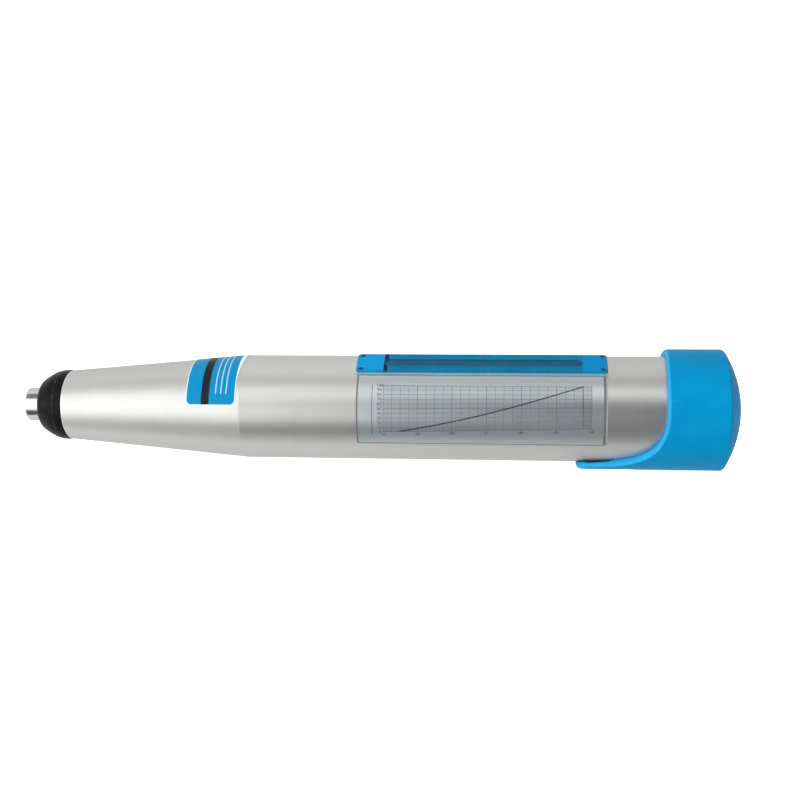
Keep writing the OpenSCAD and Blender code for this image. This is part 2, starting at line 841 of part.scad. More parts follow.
// Two blocks in the ends of the slot that hold the rider's rod
module rod_blocks() {
    color("darkgray")
    at_scale()
    difference() {
        for (x = [slot_x + 0.1, slot_end - rod_block_len - 0.1])
            block(x, x + rod_block_len, slot_w - 0.1, bore_r + 0.2, flat_top - 0.1);
        translate([0, 0, rod_z])
            rod(rod_d / 2 + seat_gap, slot_x, slot_end);
    }
}

// Rod that the rider runs on
module pointer_rod() {
    color("gainsboro")
    at_scale()
        translate([0, 0, rod_z])
            rod(rod_d / 2, slot_x + 0.3, slot_end - 0.3);
}

// Rider that stays at the highest rebound
module rider() {
    color("#30343a")
    at_scale()
    difference() {
        block(rider_x, rider_x + rider_len, slot_w - 2 * free_gap, rider_bottom, rider_top);
        translate([0, 0, rod_z])
            rod(rod_d / 2 + run_gap, rider_x - 1, rider_x + rider_len + 1);
    }
}

// Strip under the rider, with the lug that the hammer pushes
module rider_tab() {
    color("goldenrod")
    at_scale() {
        block(lug_x, rider_x + rider_len - 0.5, tab_w, rider_bottom - tab_t, rider_bottom);
        block(lug_x, lug_x + lug_t, tab_w, lug_reach, rider_bottom);
    }
}

// Curved plate with the conversion chart, on the front of the barrel
module chart_plate() {
    inner_r = barrel_r + glue_gap;
    color("lightgray")
    turned_part([[inner_r, plate_x], [inner_r + chart_t, plate_x],
                 [inner_r + chart_t, plate_x + plate_len], [inner_r, plate_x + plate_len]],
                -chart_low_angle, chart_high_angle);
}

// Label on the nose cone
module name_label() {
    rear = nose_len - label_inset;
    front = rear - label_len;
    slope = (barrel_r - nose_r) / nose_len;
    front_r = nose_r + slope * front + glue_gap;
    rear_r = nose_r + slope * rear + glue_gap;
    color("#0a6fb0")
    turned_part([[front_r, front], [front_r + label_t, front], [rear_r + label_t, rear],
                 [rear_r, rear]], label_low_angle, label_high_angle);
}

// Moves a piece from the axis to its place over the floor
module placed() {
    translate([-x_mid, 0, axis_h])
        children();
}

placed() housing();
placed() front_cap();
placed() felt_washer();
placed() split_ring();
placed() guide_sleeve();
placed() plunger();
placed() buffer_spring();
placed() impact_spring();
placed() hammer_mass();
placed() guide_bar();
placed() guide_disk();
placed() bar_pin();
placed() pawl();
placed() pawl_pin();
placed() pawl_spring();
placed() compression_spring();
placed() rear_cover();
placed() trip_screw();
placed() lock_nut();
placed() end_boot();
placed() push_button();
placed() lock_pin();
placed() button_spring();
placed() scale_plate();
placed() scale_window();
placed() scale_screws();
placed() rod_blocks();
placed() pointer_rod();
placed() rider();
placed() rider_tab();
placed() chart_plate();
placed() name_label();
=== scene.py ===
"""Looks of the concrete test hammer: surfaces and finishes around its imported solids."""

import math

import bmesh
import bpy
import numpy as np
from bpy.props import FloatProperty, FloatVectorProperty, IntProperty, PointerProperty
from mathutils import Matrix, Vector


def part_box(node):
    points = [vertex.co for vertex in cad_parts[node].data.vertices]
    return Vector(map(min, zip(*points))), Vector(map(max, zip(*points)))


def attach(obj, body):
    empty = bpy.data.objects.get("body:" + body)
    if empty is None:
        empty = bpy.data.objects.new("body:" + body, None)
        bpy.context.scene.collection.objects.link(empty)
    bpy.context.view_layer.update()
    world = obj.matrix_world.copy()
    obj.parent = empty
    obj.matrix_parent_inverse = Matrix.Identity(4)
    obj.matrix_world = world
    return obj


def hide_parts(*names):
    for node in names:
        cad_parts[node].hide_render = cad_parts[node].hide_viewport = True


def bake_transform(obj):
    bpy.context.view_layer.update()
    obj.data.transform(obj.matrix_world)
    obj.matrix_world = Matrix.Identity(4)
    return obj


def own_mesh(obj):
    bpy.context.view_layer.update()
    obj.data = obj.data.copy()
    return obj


bl_info = {
    "name": "Concrete Test Hammer",
    "version": (1, 0, 0),
    "blender": (4, 5, 0),
    "location": "View3D > Sidebar > Test hammer",
    "description": "Builds the looks of a concrete test hammer around its solids",
    "category": "Object",
}

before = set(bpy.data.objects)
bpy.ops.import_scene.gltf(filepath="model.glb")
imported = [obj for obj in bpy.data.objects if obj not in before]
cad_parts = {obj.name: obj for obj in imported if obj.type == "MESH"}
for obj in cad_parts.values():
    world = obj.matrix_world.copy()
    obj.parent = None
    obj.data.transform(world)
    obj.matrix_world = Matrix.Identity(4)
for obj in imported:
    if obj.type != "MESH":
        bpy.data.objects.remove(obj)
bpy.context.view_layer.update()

# Shapes are worked out in millimetres: along the axis from the nose's front edge, across it, and out from it.
MM = 0.001
NOSE_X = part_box("front_cap")[1].x
AXIS_Z = (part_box("plunger")[0].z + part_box("plunger")[1].z) / 2
SCALE_TILT = math.radians(34)
SEGMENTS = 192
HALF_PI = math.pi / 2

# Body
NOSE_R, BARREL_R, BORE_R = 15.5, 22.75, 19.5
NOSE_LEN, BODY_END = 82.0, 278.9
NECK_HOLE, NECK_R, SLEEVE_SEAT = 10.55, 13.0, 12.6151
COVER_SEAT, COVER_R = 263.9, 20.2
FLAT_FRONT, FLAT_REAR, FLAT_HALF, FLAT_TOP = 132.0, 237.6, 6.1, 23.4
SLOT_FRONT, SLOT_REAR, SLOT_HALF = 136.8, 231.6, 3.5

# End boot and button
BOOT_R, BOOT_FLAT, BOOT_FRONT, BOOT_RING, BOOT_LEAN = 26.0, 25.5, 261.6, 268.7, 1.4
DOME_R, DOME_START, DOME_EDGE, DOME_APEX, CHAMFER = 47.9155, 287.3, 25.1, 294.4, 286.4
TONGUE_TIP, TONGUE_HALF, TONGUE_CORNER, TONGUE_INNER = 225.9, 9.5, 4.0, 24.2
TONGUE_GAP_END = 239.9
FLARE_X, FLARE_R = 230.532, 37.5
BOOT_BORE, CUP_SEAT = 22.78, 283.3
BUTTON_X, BUTTON_R, BUTTON_HOLE = 245.9, 6.3, 6.6
POCKET_R, POCKET_FLOOR, LOCK_HOLE = 7.8, 20.6, 3.06

# Scale and films
PLATE_FRONT, PLATE_REAR, PLATE_HALF, PLATE_T, PLATE_CORNER = 131.9, 237.7, 6.2, 1.0, 1.2
PLATE_TOP = FLAT_TOP + PLATE_T
OPENING_FRONT, OPENING_REAR, OPENING_HALF = 143.9, 227.3, 2.45
REBATE_FRONT, REBATE_REAR, REBATE_HALF, REBATE_TOP = 142.4, 228.8, 4.0, 24.0
SCREWS = [(x, y) for x in (134.2, 235.8) for y in (-4.6, 4.6)]
ROD_OUT, ROD_HOLE = 21.3, 1.21
MARK_X, SCALE_LEN = 144.9, 75.0
CHART_FRONT, CHART_LEN, CHART_HIGHLIGHT_STRIP, CHART_R, CHART_T = 132.5, 104.4, 0.55, 23.07, 0.3
CHART_LOW, CHART_HIGH = math.radians(-38.0), math.radians(40.0)
LABEL_FRONT, LABEL_REAR, LABEL_LEAN, LABEL_T = 58.4, 80.5, 1.3, 0.12
LABEL_LOW, LABEL_HIGH = math.radians(4.2), math.radians(110.5)
CONE_SLOPE = (BARREL_R - NOSE_R) / NOSE_LEN

# Level of the brightest part of the sky
BRIGHTEST = 2.0


def millimetres(name, description, default):
    """Property for a length."""
    return FloatProperty(name=name, description=description, default=default * MM, unit="LENGTH")


def paint(name, description, *default):
    """Property for a colour."""
    return FloatVectorProperty(name=name, description=description, default=default, subtype="COLOR")


class HammerSizes(bpy.types.PropertyGroup):
    """Sizes of the details that the solids leave plain."""

    cap_edge: millimetres("Cap edge", "Rounding of the black cap's edges", 0.3)
    nose_edge: millimetres("Nose edge", "Rounding of the nose's front edge", 0.6)
    tip_edge: millimetres("Tip edge", "Rounding of the plunger's tip", 0.9)
    boot_rim: millimetres("Boot rim", "Rounding of the boot's front edge", 1.1)
    boot_shoulder: millimetres("Boot shoulder", "Rounding where the boot's dome starts", 3.0)
    plate_edge: millimetres("Plate edge", "Rounding of the scale plate's edges", 0.3)
    label_corner: millimetres("Label corner", "Corner radius of the label", 2.2)
    figure_height: millimetres("Figures", "Height of the chart's numbers", 2.1)
    chart_columns: IntProperty(
        name="Chart columns", description="Divisions of the chart along the barrel", default=24, min=4
    )
    chart_rows: IntProperty(
        name="Chart rows", description="Divisions of the chart round the barrel", default=10, min=4
    )


class HammerColours(bpy.types.PropertyGroup):
    """Colours of the finishes."""

    aluminium: paint("Aluminium", "Body", 0.66, 0.66, 0.65)
    cap_black: paint("Cap", "Black of the cap and the rider", 0.002, 0.002, 0.0023)
    boot_blue: paint("Boot", "Blue of the boot", 0.0, 0.222, 0.447)
    # Boot rim: a paler blue for scuffs and rubbed edges, which also paints a highlight on the boot's lit
    # front rim.
    rim_blue: paint("Boot rim", "Paler blue of the boot's rubbed edge", 0.03, 0.38, 0.76)
    plate_blue: paint("Plate", "Blue of the scale plate", 0.0, 0.155, 0.31)
    label_blue: paint("Label", "Blue of the label", 0.0, 0.19, 0.39)
    ink: paint("Ink", "Print on the chart", 0.012, 0.016, 0.03)
    film: paint("Film", "Ground of the chart", 0.56, 0.59, 0.59)
    window: paint("Window", "Tint of the clear strip", 0.01, 0.385, 0.63)


def sizes():
    """The details' sizes in millimetres."""
    props = bpy.context.scene.hammer_sizes
    return {key: getattr(props, key) / MM for key in HammerSizes.__annotations__ if "chart" not in key}


def colour(name):
    """One of the colours, as red, green and blue."""
    return tuple(getattr(bpy.context.scene.hammer_colours, name))


# Places


def on_axis(points):
    """Millimetres (along, across, up from the axis) to metres in the shared frame."""
    return points * MM + np.array([NOSE_X, 0.0, AXIS_Z])


def on_scale(points):
    """(along, across, out) turned about the axis by the scale's tilt, so that out points at the scale."""
    along, across, out = np.moveaxis(points, -1, 0)
    c, s = math.cos(SCALE_TILT), math.sin(SCALE_TILT)
    return on_axis(stacked(along, across * c - out * s, across * s + out * c))


def on_button(points):
    """(along, across, out) with out pointing straight down, where the button is."""
    return on_axis(points * np.array([1.0, -1.0, -1.0]))


def round_axis(along, radius, angle):
    """Points at a radius and an angle above the front: across is -r cos(angle), up is r sin(angle)."""
    along, radius, angle = np.broadcast_arrays(along, radius, angle)
    return stacked(along, -radius * np.cos(angle), radius * np.sin(angle))


# Profiles and surfaces


def joined(*rows):
    """Arrays one after the other."""
    return np.concatenate(rows)


def stacked(*parts):
    """Points from their parts."""
    return np.stack(parts, axis=-1)


def quarter(steps):
    """Angles of a quarter turn."""
    return np.linspace(0, HALF_PI, steps)


def full_turn(steps):
    """Angles of a whole turn, without its end."""
    return np.linspace(0, 2 * math.pi, steps, endpoint=False)


def smooth(share):
    """0 to 1 with level ends: 3 t^2 - 2 t^3."""
    t = np.clip(share, 0, 1)
    return t * t * (3 - 2 * t)


def rounded(corners, radii, closed=True, steps=5):
    """Profile with arcs for corners: an arc of the given radius touches both sides of its corner, and one
    point beside each end of the arc keeps the sides flat. Returns the points, and 1 on the arcs, else 0."""
    corners = np.asarray(corners, float)
    radii = np.broadcast_to(radii, len(corners))
    points, arcs = [], []
    for i, corner in enumerate(corners):
        ends = (i == 0 or i == len(corners) - 1) and not closed
        before = corners[i - 1] - corner
        after = corners[(i + 1) % len(corners)] - corner
        room = min(np.linalg.norm(before), np.linalg.norm(after))
        before, after = before / np.linalg.norm(before), after / np.linalg.norm(after)
        half = math.acos(float(np.clip(before @ after, -1, 1))) / 2
        if ends or radii[i] <= 0 or half > HALF_PI - 0.005:
            points.append(corner[None])
            arcs.append(np.zeros(1))
            continue
        cut = min(radii[i] / math.tan(half), 0.45 * room)
        radius = cut * math.tan(half)
        inward = (before + after) / np.linalg.norm(before + after)
        centre = corner + inward * radius / math.sin(half)
        first, last = corner + before * cut - centre, corner + after * cut - centre
        sweep = math.pi - 2 * half
        t = np.linspace(0, 1, steps + 1)[:, None]
        arc = centre + (np.sin((1 - t) * sweep) * first + np.sin(t * sweep) * last) / math.sin(sweep)
        past = cut + min(0.2, 0.3 * (room - cut))
        points.append(joined([corner + before * past], arc, [corner + after * past]))
        arcs.append(joined([0.0], np.ones(steps + 1), [0.0]))
    return np.concatenate(points), np.concatenate(arcs)


def following(curve, corners, radii, steps=5):
    """A curve, then a rounded profile from its last point on, with the same results."""
    body, arcs = rounded([curve[-1], *corners], [0, *radii], closed=False, steps=steps)
    return joined(curve[:-1], body), joined(np.zeros(len(curve) - 1), arcs)


def patch(points, wrap_rows=False, wrap_cols=False, wear=None, drop=None):
    """Grid of points as quads between neighbours. The last row or column joins the first where it wraps.
    wear is one value for each row, and drop marks the quads that are left out. The map runs 0 to 1 each
    way."""
    rows, cols = points.shape[:2]
    high, wide = rows if wrap_rows else rows - 1, cols if wrap_cols else cols - 1
    i, j = np.meshgrid(np.arange(high), np.arange(wide), indexing="ij")
    if drop is not None:
        keep = ~drop[:high, :wide]
        i, j = i[keep], j[keep]
    i, j = i.ravel(), j.ravel()
    down, right = (i + 1) % rows, (j + 1) % cols
    faces = np.stack([i * cols + j, down * cols + j, down * cols + right, i * cols + right], axis=1)
    u = np.stack([i, i + 1, i + 1, i], axis=1) / high
    v = np.stack([j, j, j + 1, j + 1], axis=1) / wide
    worn = np.zeros(rows) if wear is None else np.asarray(wear, float)
    return {
        "points": points.reshape(-1, 3),
        "faces": faces,
        "map": stacked(u, v),
        "wear": np.repeat(worn, cols),
    }


def turned(profile, arcs=None, closed=True, segments=SEGMENTS):
    """Profile of (along, radius) carried round the axis. A closed one is a ring; an open one ends in
    poles."""
    angle = full_turn(segments)
    points = round_axis(profile[:, :1], profile[:, 1:], angle[None])
    return patch(points, wrap_rows=closed, wrap_cols=True, wear=arcs)


def posted(profile, x, y=0.0, arcs=None, segments=96):
    """Profile of (out, radius) carried round an upright line at (x, y): (x + r cos a, y + r sin a, out)."""
    angle = full_turn(segments)[None]
    out, radius = np.broadcast_arrays(profile[:, :1], angle)[0], profile[:, 1:]
    points = stacked(x + radius * np.cos(angle), y + radius * np.sin(angle), out)
    return patch(points, wrap_cols=True, wear=arcs)


def track(front, rear, half, corner):
    """Loop of a rectangle with round corners: four quarter arcs, each about its own corner's centre."""
    corner = max(corner, 0.0)
    angle = quarter(8)[None] + np.arange(4)[:, None] * HALF_PI
    x = np.array([rear - corner, front + corner, front + corner, rear - corner])[:, None]
    y = np.array([1, 1, -1, -1])[:, None] * (half - corner)
    return stacked(x + corner * np.cos(angle), y + corner * np.sin(angle)).reshape(-1, 2)


def lofted(loops, heights, closed=False, wear=None):
    """Loops of (along, across) at heights out from the axis, joined in order. Closed joins the ends too."""
    points = np.stack([np.column_stack([loop, np.full(len(loop), h)]) for loop, h in zip(loops, heights)])
    return patch(points, wrap_rows=closed, wrap_cols=True, wear=wear)


def cushion(front, rear, half, corner, low, high, edge, steps=4):
    """Block with rounded edges: its loop is drawn in by edge (1 - cos a) while it rises by edge sin a, at the
    bottom and at the top, and both ends close on the middle line."""
    a = quarter(steps + 1)
    draw, lift = edge * (1 - np.cos(a)), edge * np.sin(a)
    inset = joined([half, edge * 1.5], edge - lift, draw, [edge * 1.5, half])
    height = joined([low, low], low + draw, high - edge + lift, [high, high])
    loops = [track(front + d, rear - d, half - d, corner - d) for d in inset]
    wear = joined([0, 0], np.ones(2 * steps + 2), [0, 0])
    return lofted(loops, height, wear=wear)


def coil(start, length, mean_r, wire, turns):
    """Round wire on a helix about the axis. The pitch falls to nearly the wire's width in the last turn at
    each end, as on a wound spring, and each ring of wire stands square to the helix."""
    ring_steps, sides = 40, 14
    t = np.linspace(0, turns, int(turns * ring_steps) + 1)
    closed_pitch = min(0.9, 1.12 * wire * turns / (length - wire))
    pitch = closed_pitch + (1 - closed_pitch) * smooth(np.minimum(t, turns - t) / 0.9)
    along = joined([0], np.cumsum((pitch[1:] + pitch[:-1]) / 2))
    along = start + wire / 2 + along / along[-1] * (length - wire)
    turn = 2 * math.pi * t
    centre = round_axis(along, mean_r, turn)
    tangent = np.gradient(centre, axis=0)
    tangent /= np.linalg.norm(tangent, axis=1, keepdims=True)
    radial = round_axis(np.zeros_like(turn), 1.0, turn)
    binormal = np.cross(tangent, radial)
    side = full_turn(sides)[None, :, None]
    tube = centre[:, None] + wire / 2 * (np.cos(side) * radial[:, None] + np.sin(side) * binormal[:, None])
    low, high = np.repeat(centre[:1, None], sides, axis=1), np.repeat(centre[-1:, None], sides, axis=1)
    return patch(joined(low, tube, high), wrap_cols=True)


# Pieces


def weld(mesh, distance):
    """Merges equal points and turns the faces outwards."""
    work = bmesh.new()
    work.from_mesh(mesh)
    bmesh.ops.remove_doubles(work, verts=work.verts, dist=distance)
    bmesh.ops.recalc_face_normals(work, faces=work.faces)
    work.to_mesh(mesh)
    work.free()
    return mesh


def make_mesh(name, patches, place):
    """One welded mesh from patches, with their wear and map."""
    points = place(np.concatenate([p["points"] for p in patches]))
    starts = np.cumsum([0] + [len(p["points"]) for p in patches[:-1]])
    faces = np.concatenate([p["faces"] + start for p, start in zip(patches, starts)])
    mesh = bpy.data.meshes.new(name)
    mesh.from_pydata(points.tolist(), [], faces.tolist())
    wear = mesh.attributes.new("edge_wear", "FLOAT", "POINT")
    wear.data.foreach_set("value", np.concatenate([p["wear"] for p in patches]).astype(np.float32))
    flat = np.concatenate([p["map"].reshape(-1, 2) for p in patches])
    mesh.uv_layers.new(name="print").data.foreach_set("uv", flat.astype(np.float32).ravel())
    return weld(mesh, 2e-7)


def linked(name, data):
    """New object in the scene."""
    made = bpy.data.objects.new(name, data)
    bpy.context.scene.collection.objects.link(made)
    return made


def make_piece(name, patches, place, body, finish, stands_for=(), sharp=32.0):
    """Object for a mesh: edges past the sharp angle stay crisp, and it rides on its body."""
    mesh = patches if isinstance(patches, bpy.types.Mesh) else make_mesh(name, patches, place)
    mesh.shade_smooth()
    mesh.set_sharp_from_angle(angle=math.radians(sharp))
    mesh.materials.clear()
    mesh.materials.append(finish)
    piece = linked(name, mesh)
    if body:
        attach(piece, body)
    if stands_for:
        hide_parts(*stands_for)
    return piece


def solid(shape):
    """Mesh of an object with its modifiers or its outline worked out."""
    return bpy.data.meshes.new_from_object(shape.evaluated_get(bpy.context.evaluated_depsgraph_get()))


def carve(mesh, cutter, place):
    """The mesh with the cutter's patches taken away by an exact boolean."""
    work = linked("carved", mesh)
    tool = linked("cutter", make_mesh("cutter", cutter, place))
    cut = work.modifiers.new("cut", "BOOLEAN")
    cut.object, cut.operation, cut.solver = tool, "DIFFERENCE", "EXACT"
    done = solid(work)
    if len(done.polygons) < 4:
        raise RuntimeError("the cut left nothing of " + mesh.name)
    done.name = mesh.name
    bpy.data.objects.remove(work)
    bpy.data.objects.remove(tool)
    return done


def figures(name, entries, place, body, finish):
    """Printed numbers as thin solids: each is the built-in font's outline, at its place (x, y) and size."""
    thickness, start = 0.03, 0
    points, faces = [], []
    for text, x, y, height in entries:
        curve = bpy.data.curves.new("figure", "FONT")
        curve.body, curve.size, curve.extrude = text, height * 1.35, thickness / 2
        curve.align_x, curve.align_y, curve.resolution_u = "CENTER", "CENTER", 3
        shape = linked("figure", curve)
        mesh = solid(shape)
        co = np.zeros(len(mesh.vertices) * 3)
        mesh.vertices.foreach_get("co", co)
        points.append(co.reshape(-1, 3) + np.array([x, y, 0.0]))
        faces += [[v + start for v in polygon.vertices] for polygon in mesh.polygons]
        start += len(mesh.vertices)
        bpy.data.objects.remove(shape)
        bpy.data.meshes.remove(mesh)
    mesh = bpy.data.meshes.new(name)
    mesh.from_pydata(place(np.concatenate(points)).tolist(), [], faces)
    return make_piece(name, weld(mesh, 1e-7), None, body, finish)


# Node helpers


def plug(socket, value):
    """Links a socket to a value, or sets it."""
    if isinstance(value, Value):
        socket.id_data.links.new(value.socket, socket)
    else:
        socket.default_value = value


def node(tree, kind, inputs=None, **settings):
    """A node of a kind with its settings and inputs."""
    made = tree.nodes.new(kind)
    for key, value in settings.items():
        setattr(made, key, value)
    for key, value in (inputs or {}).items():
        plug(made.inputs[key], value)
    return made


def formula_sign(operation):
    """Method for a sign in a formula: a Math node on the values beside it."""

    def method(self, *others):
        return self.maths(operation, *others)

    return method


class Value:
    """Output of a node, for use in formulas: each sign and method adds a node to its tree."""

    def __init__(self, made, output=0):
        self.tree, self.socket = made.id_data, made.outputs[output]

    def maths(self, operation, *others, clamp=False):
        """Result of a Math node on this value and others."""
        inputs = dict(enumerate((self, *others)))
        return Value(node(self.tree, "ShaderNodeMath", inputs, operation=operation, use_clamp=clamp))

    __add__, __sub__, __mul__, __truediv__ = map(formula_sign, ("ADD", "SUBTRACT", "MULTIPLY", "DIVIDE"))
    __gt__, __lt__, __or__, __abs__ = map(formula_sign, ("GREATER_THAN", "LESS_THAN", "MAXIMUM", "ABSOLUTE"))

    def __rsub__(self, other):
        return self * -1.0 + other

    def between(self, low, high):
        """1 between two limits, else 0."""
        return (self > low) * (self < high)

    def remap(self, low, high, to_low=0.0, to_high=1.0):
        """Taken from one range to another, held at its ends."""
        inputs = dict(enumerate((self, low, high, to_low, to_high)))
        return Value(node(self.tree, "ShaderNodeMapRange", inputs))

    def span(self, low, high):
        """A share from 0 to 1 taken to a range."""
        return self.remap(0.0, 1.0, low, high)

    def mix(self, first, second):
        """Two colours mixed by this mask."""
        made = node(self.tree, "ShaderNodeMix", {0: self}, data_type="RGBA")
        for index, value in ((6, first), (7, second)):
            plug(made.inputs[index], (*value, 1.0) if isinstance(value, tuple) else value)
        return Value(made, 2)

    def parts(self):
        """The three parts of a vector."""
        made = node(self.tree, "ShaderNodeSeparateXYZ", {0: self})
        return [Value(made, part) for part in range(3)]

    def stretch(self, *factors):
        """A vector with each part multiplied by its own factor."""
        return Value(node(self.tree, "ShaderNodeVectorMath", {0: self, 1: factors}, operation="MULTIPLY"))

    def noise(self, scale, detail=2.0, roughness=0.5):
        """Noise at a vector."""
        inputs = {"Vector": self, "Scale": scale, "Detail": detail, "Roughness": roughness}
        return Value(node(self.tree, "ShaderNodeTexNoise", inputs))


def group(name, outputs, **inputs):
    """Turns a function of values into a node group, which is made at its first use. An input has a plain
    default, or None for a vector. A call with inputs by name then places the group and gives its outputs."""

    def make(build):
        tree = bpy.data.node_groups.new(name, "ShaderNodeTree")
        for label, default in inputs.items():
            kind = "NodeSocketVector" if default is None else "NodeSocketFloat"
            socket = tree.interface.new_socket(label, in_out="INPUT", socket_type=kind)
            if default is not None:
                socket.default_value = default
        for label in outputs:
            tree.interface.new_socket(label, in_out="OUTPUT", socket_type="NodeSocketFloat")
        given = tree.nodes.new("NodeGroupInput")
        results = build(*[Value(given, label) for label in inputs])
        for socket, value in zip(tree.nodes.new("NodeGroupOutput").inputs, results):
            plug(socket, value)
        return tree

    def wrap(build):
        def place(**values):
            shared = bpy.data.node_groups.get(name) or make(build)
            tree = next(value.tree for value in values.values() if isinstance(value, Value))
            made = node(tree, "ShaderNodeGroup", values, node_tree=shared)
            return [Value(made, label) for label in outputs]

        return place

    return wrap


@group("Turning marks", ("Height", "Tone"), Vector=None, Fineness=1.0)
def turning_marks(vector, fineness):
    """Fine rings left by the lathe: noise that is fine along X and long round the axis."""
    inputs = {0: vector, "Scale": fineness}
    scaled = Value(node(vector.tree, "ShaderNodeVectorMath", inputs, operation="SCALE"))
    fine = scaled.stretch(9000.0, 60.0, 60.0).noise(1.0, 3.0)
    return fine, scaled.stretch(260.0, 22.0, 22.0).noise(1.0, 4.0, 0.6)


@group("Handling marks", ("Smear", "Scuff"), Vector=None)
def handling_marks(vector):
    """Faint smears and scuffs from use, from broad noise and thin stretched noise."""
    thin = vector.stretch(70.0, 900.0, 600.0).noise(1.0, 3.0)
    return vector.noise(55.0, 5.0, 0.62).remap(0.32, 0.7), thin.remap(0.62, 0.74)


@group("Moulded grain", ("Height", "Tone"), Vector=None)
def moulded_grain(vector):
    """Fine spark-eroded grain of moulded plastic, and its slow change of tone."""
    cells = Value(node(vector.tree, "ShaderNodeTexVoronoi", {"Vector": vector, "Scale": 4500.0}), "Distance")
    return cells * 0.6 + vector.noise(2600.0), vector.noise(70.0, 4.0, 0.6)


@group("Worn edges", ("Mask",), Edge=0.0, Vector=None, Amount=0.5)
def worn_edges(edge, vector, amount):
    """Wear along edges. The piece's edge mask is broken up by noise and sharpened."""
    worn = edge * (vector.noise(420.0, 5.0, 0.65) + 0.45) - (1.05 - amount)
    return (worn.maths("MULTIPLY", 3.0, clamp=True),)


@group("Ruled lines", ("Mask",), Coordinate=0.0, First=0.0, Spacing=0.0, Last=0.0, Width=0.0)
def ruled_lines(coordinate, first, spacing, last, width):
    """Evenly spaced printed lines. A point is on a line where it lies within half the width of the nearest
    multiple of the spacing, between the first and the last line."""
    step = (coordinate - first) / spacing
    half = width * 0.5
    near = abs(step - step.maths("ROUND")) * spacing < half
    return (near * coordinate.between(first - half, last + half),)


# Finishes


def open_finish(name):
    """A new material, the place on the piece and the edge mask."""
    made = bpy.data.materials.new(name)
    made.use_nodes = True
    place = Value(node(made.node_tree, "ShaderNodeTexCoord"), "Object")
    return made, place, Value(node(made.node_tree, "ShaderNodeAttribute", attribute_name="edge_wear"), "Fac")


def shade(made, tone, rough, bump=None, **others):
    """Sets a material's shader: colour, roughness, a bump of (height, strength, distance), and other sockets
    by their names."""
    tree = made.node_tree
    shader = tree.nodes["Principled BSDF"].inputs
    plug(shader["Base Color"], tone)
    plug(shader["Roughness"], rough)
    for name, value in others.items():
        plug(shader[name.replace("_", " ")], value)
    if bump:
        raised = node(tree, "ShaderNodeBump", dict(zip(("Height", "Strength", "Distance"), bump)))
        plug(shader["Normal"], Value(raised, "Normal"))
    return made


def scaled(base, factor):
    """A lighter or darker colour."""
    return tuple(min(1.0, factor * part) for part in base)


def scale_axes(y, z):
    """Distances across the scale and out from the axis towards it."""
    c, s = math.cos(SCALE_TILT), math.sin(SCALE_TILT)
    up = z - AXIS_Z
    return y * c + up * s, up * c - y * s


def print_map(made):
    """Place on a film's print: along and up, each from 0 to 1."""
    return Value(node(made.node_tree, "ShaderNodeUVMap", uv_map="print")).parts()[:2]


def satin_aluminium():
    """Body: blasted cone, finely turned barrel that is rubbed matt beside the tongue, with faint rings,
    smears and brighter edges. A painted pale blue reflection of the plate runs round the flat's wall, under
    the scale plate."""
    made, place, edge = open_finish("Satin aluminium")
    height, ring = turning_marks(Vector=place)
    smear, _ = handling_marks(Vector=place)
    (worn,) = worn_edges(Edge=edge, Vector=place, Amount=0.75)
    x, y, z = place.parts()
    across, out = scale_axes(y, z)
    step, tongue = NOSE_X + NOSE_LEN * MM, NOSE_X + TONGUE_TIP * MM
    cone_to_barrel = x.remap(step - 0.00015, step + 0.00015, 0.3, 0.28)
    matt = x.remap(tongue - 0.008, tongue + 0.002) * z.remap(AXIS_Z - 0.013, AXIS_Z - 0.019)
    base = colour("aluminium")
    tone = ring.mix(scaled(base, 0.93), base)
    tone = (smear * 0.07).mix(tone, (0.5, 0.5, 0.49))
    tone = worn.mix(tone, (0.86, 0.86, 0.86))
    # Painted reflection: the flat's wall just under the plate is tinted pale blue and made non-metallic,
    # standing for the blue plate reflected in the metal.
    reflection_foot, body, reflection_top = 0.0218, 0.0221, 0.0231
    painted_blue_reflection = out.remap(body, reflection_top, 0.3, 1.0) * (out > reflection_foot)
    painted_blue_reflection *= x.between(NOSE_X + (FLAT_FRONT - 0.05) * MM, NOSE_X + (FLAT_REAR + 0.05) * MM)
    painted_blue_reflection *= abs(across) > FLAT_HALF * MM - 0.0005
    tone = painted_blue_reflection.mix(tone, (0.14, 0.35, 0.45))
    rough = matt * 0.3 + cone_to_barrel + smear * 0.05 + ring * 0.05
    return shade(made, tone, rough, (height, 0.06, 0.0001), Metallic=1.0 - painted_blue_reflection)


def steel(name, base, rough, fineness=1.0, bump=0.05, smeared=0.1):
    """Turned or ground steel: its colour, roughness, rings and smears."""
    made, place, edge = open_finish(name)
    height, ring = turning_marks(Vector=place, Fineness=fineness)
    smear, scuff = handling_marks(Vector=place)
    (worn,) = worn_edges(Edge=edge, Vector=place, Amount=0.7)
    tone = worn.mix(ring.mix(scaled(base, 0.85), base), scaled(base, 1.15))
    return shade(made, tone, smear * smeared + rough + scuff * 0.08, (height, bump, 0.0001), Metallic=1.0)


def spring_steel():
    """Drawn wire: blue-grey, oily, with fine draw lines."""
    made, place, _ = open_finish("Spring wire")
    smear, scuff = handling_marks(Vector=place)
    speck = place.noise(1500.0, 3.0)
    tone = scuff.mix(speck.mix((0.2, 0.21, 0.235), (0.34, 0.35, 0.37)), (0.5, 0.5, 0.5))
    return shade(made, tone, smear.span(0.2, 0.38), (speck, 0.08, 0.0001), Metallic=1.0)


def black_paint():
    """Black paint of the cap: half gloss, faint orange peel, grey where the edges are rubbed."""
    made, place, edge = open_finish("Black cap paint")
    smear, _ = handling_marks(Vector=place)
    (worn,) = worn_edges(Edge=edge, Vector=place, Amount=0.2)
    base = colour("cap_black")
    tone = worn.mix(smear.mix(base, tuple(part + 0.006 for part in base)), (0.03, 0.03, 0.031))
    peel = place.noise(1100.0)
    return shade(made, tone, smear * 0.12 + 0.22, (peel, 0.05, 0.0002), Specular_IOR_Level=0.1)


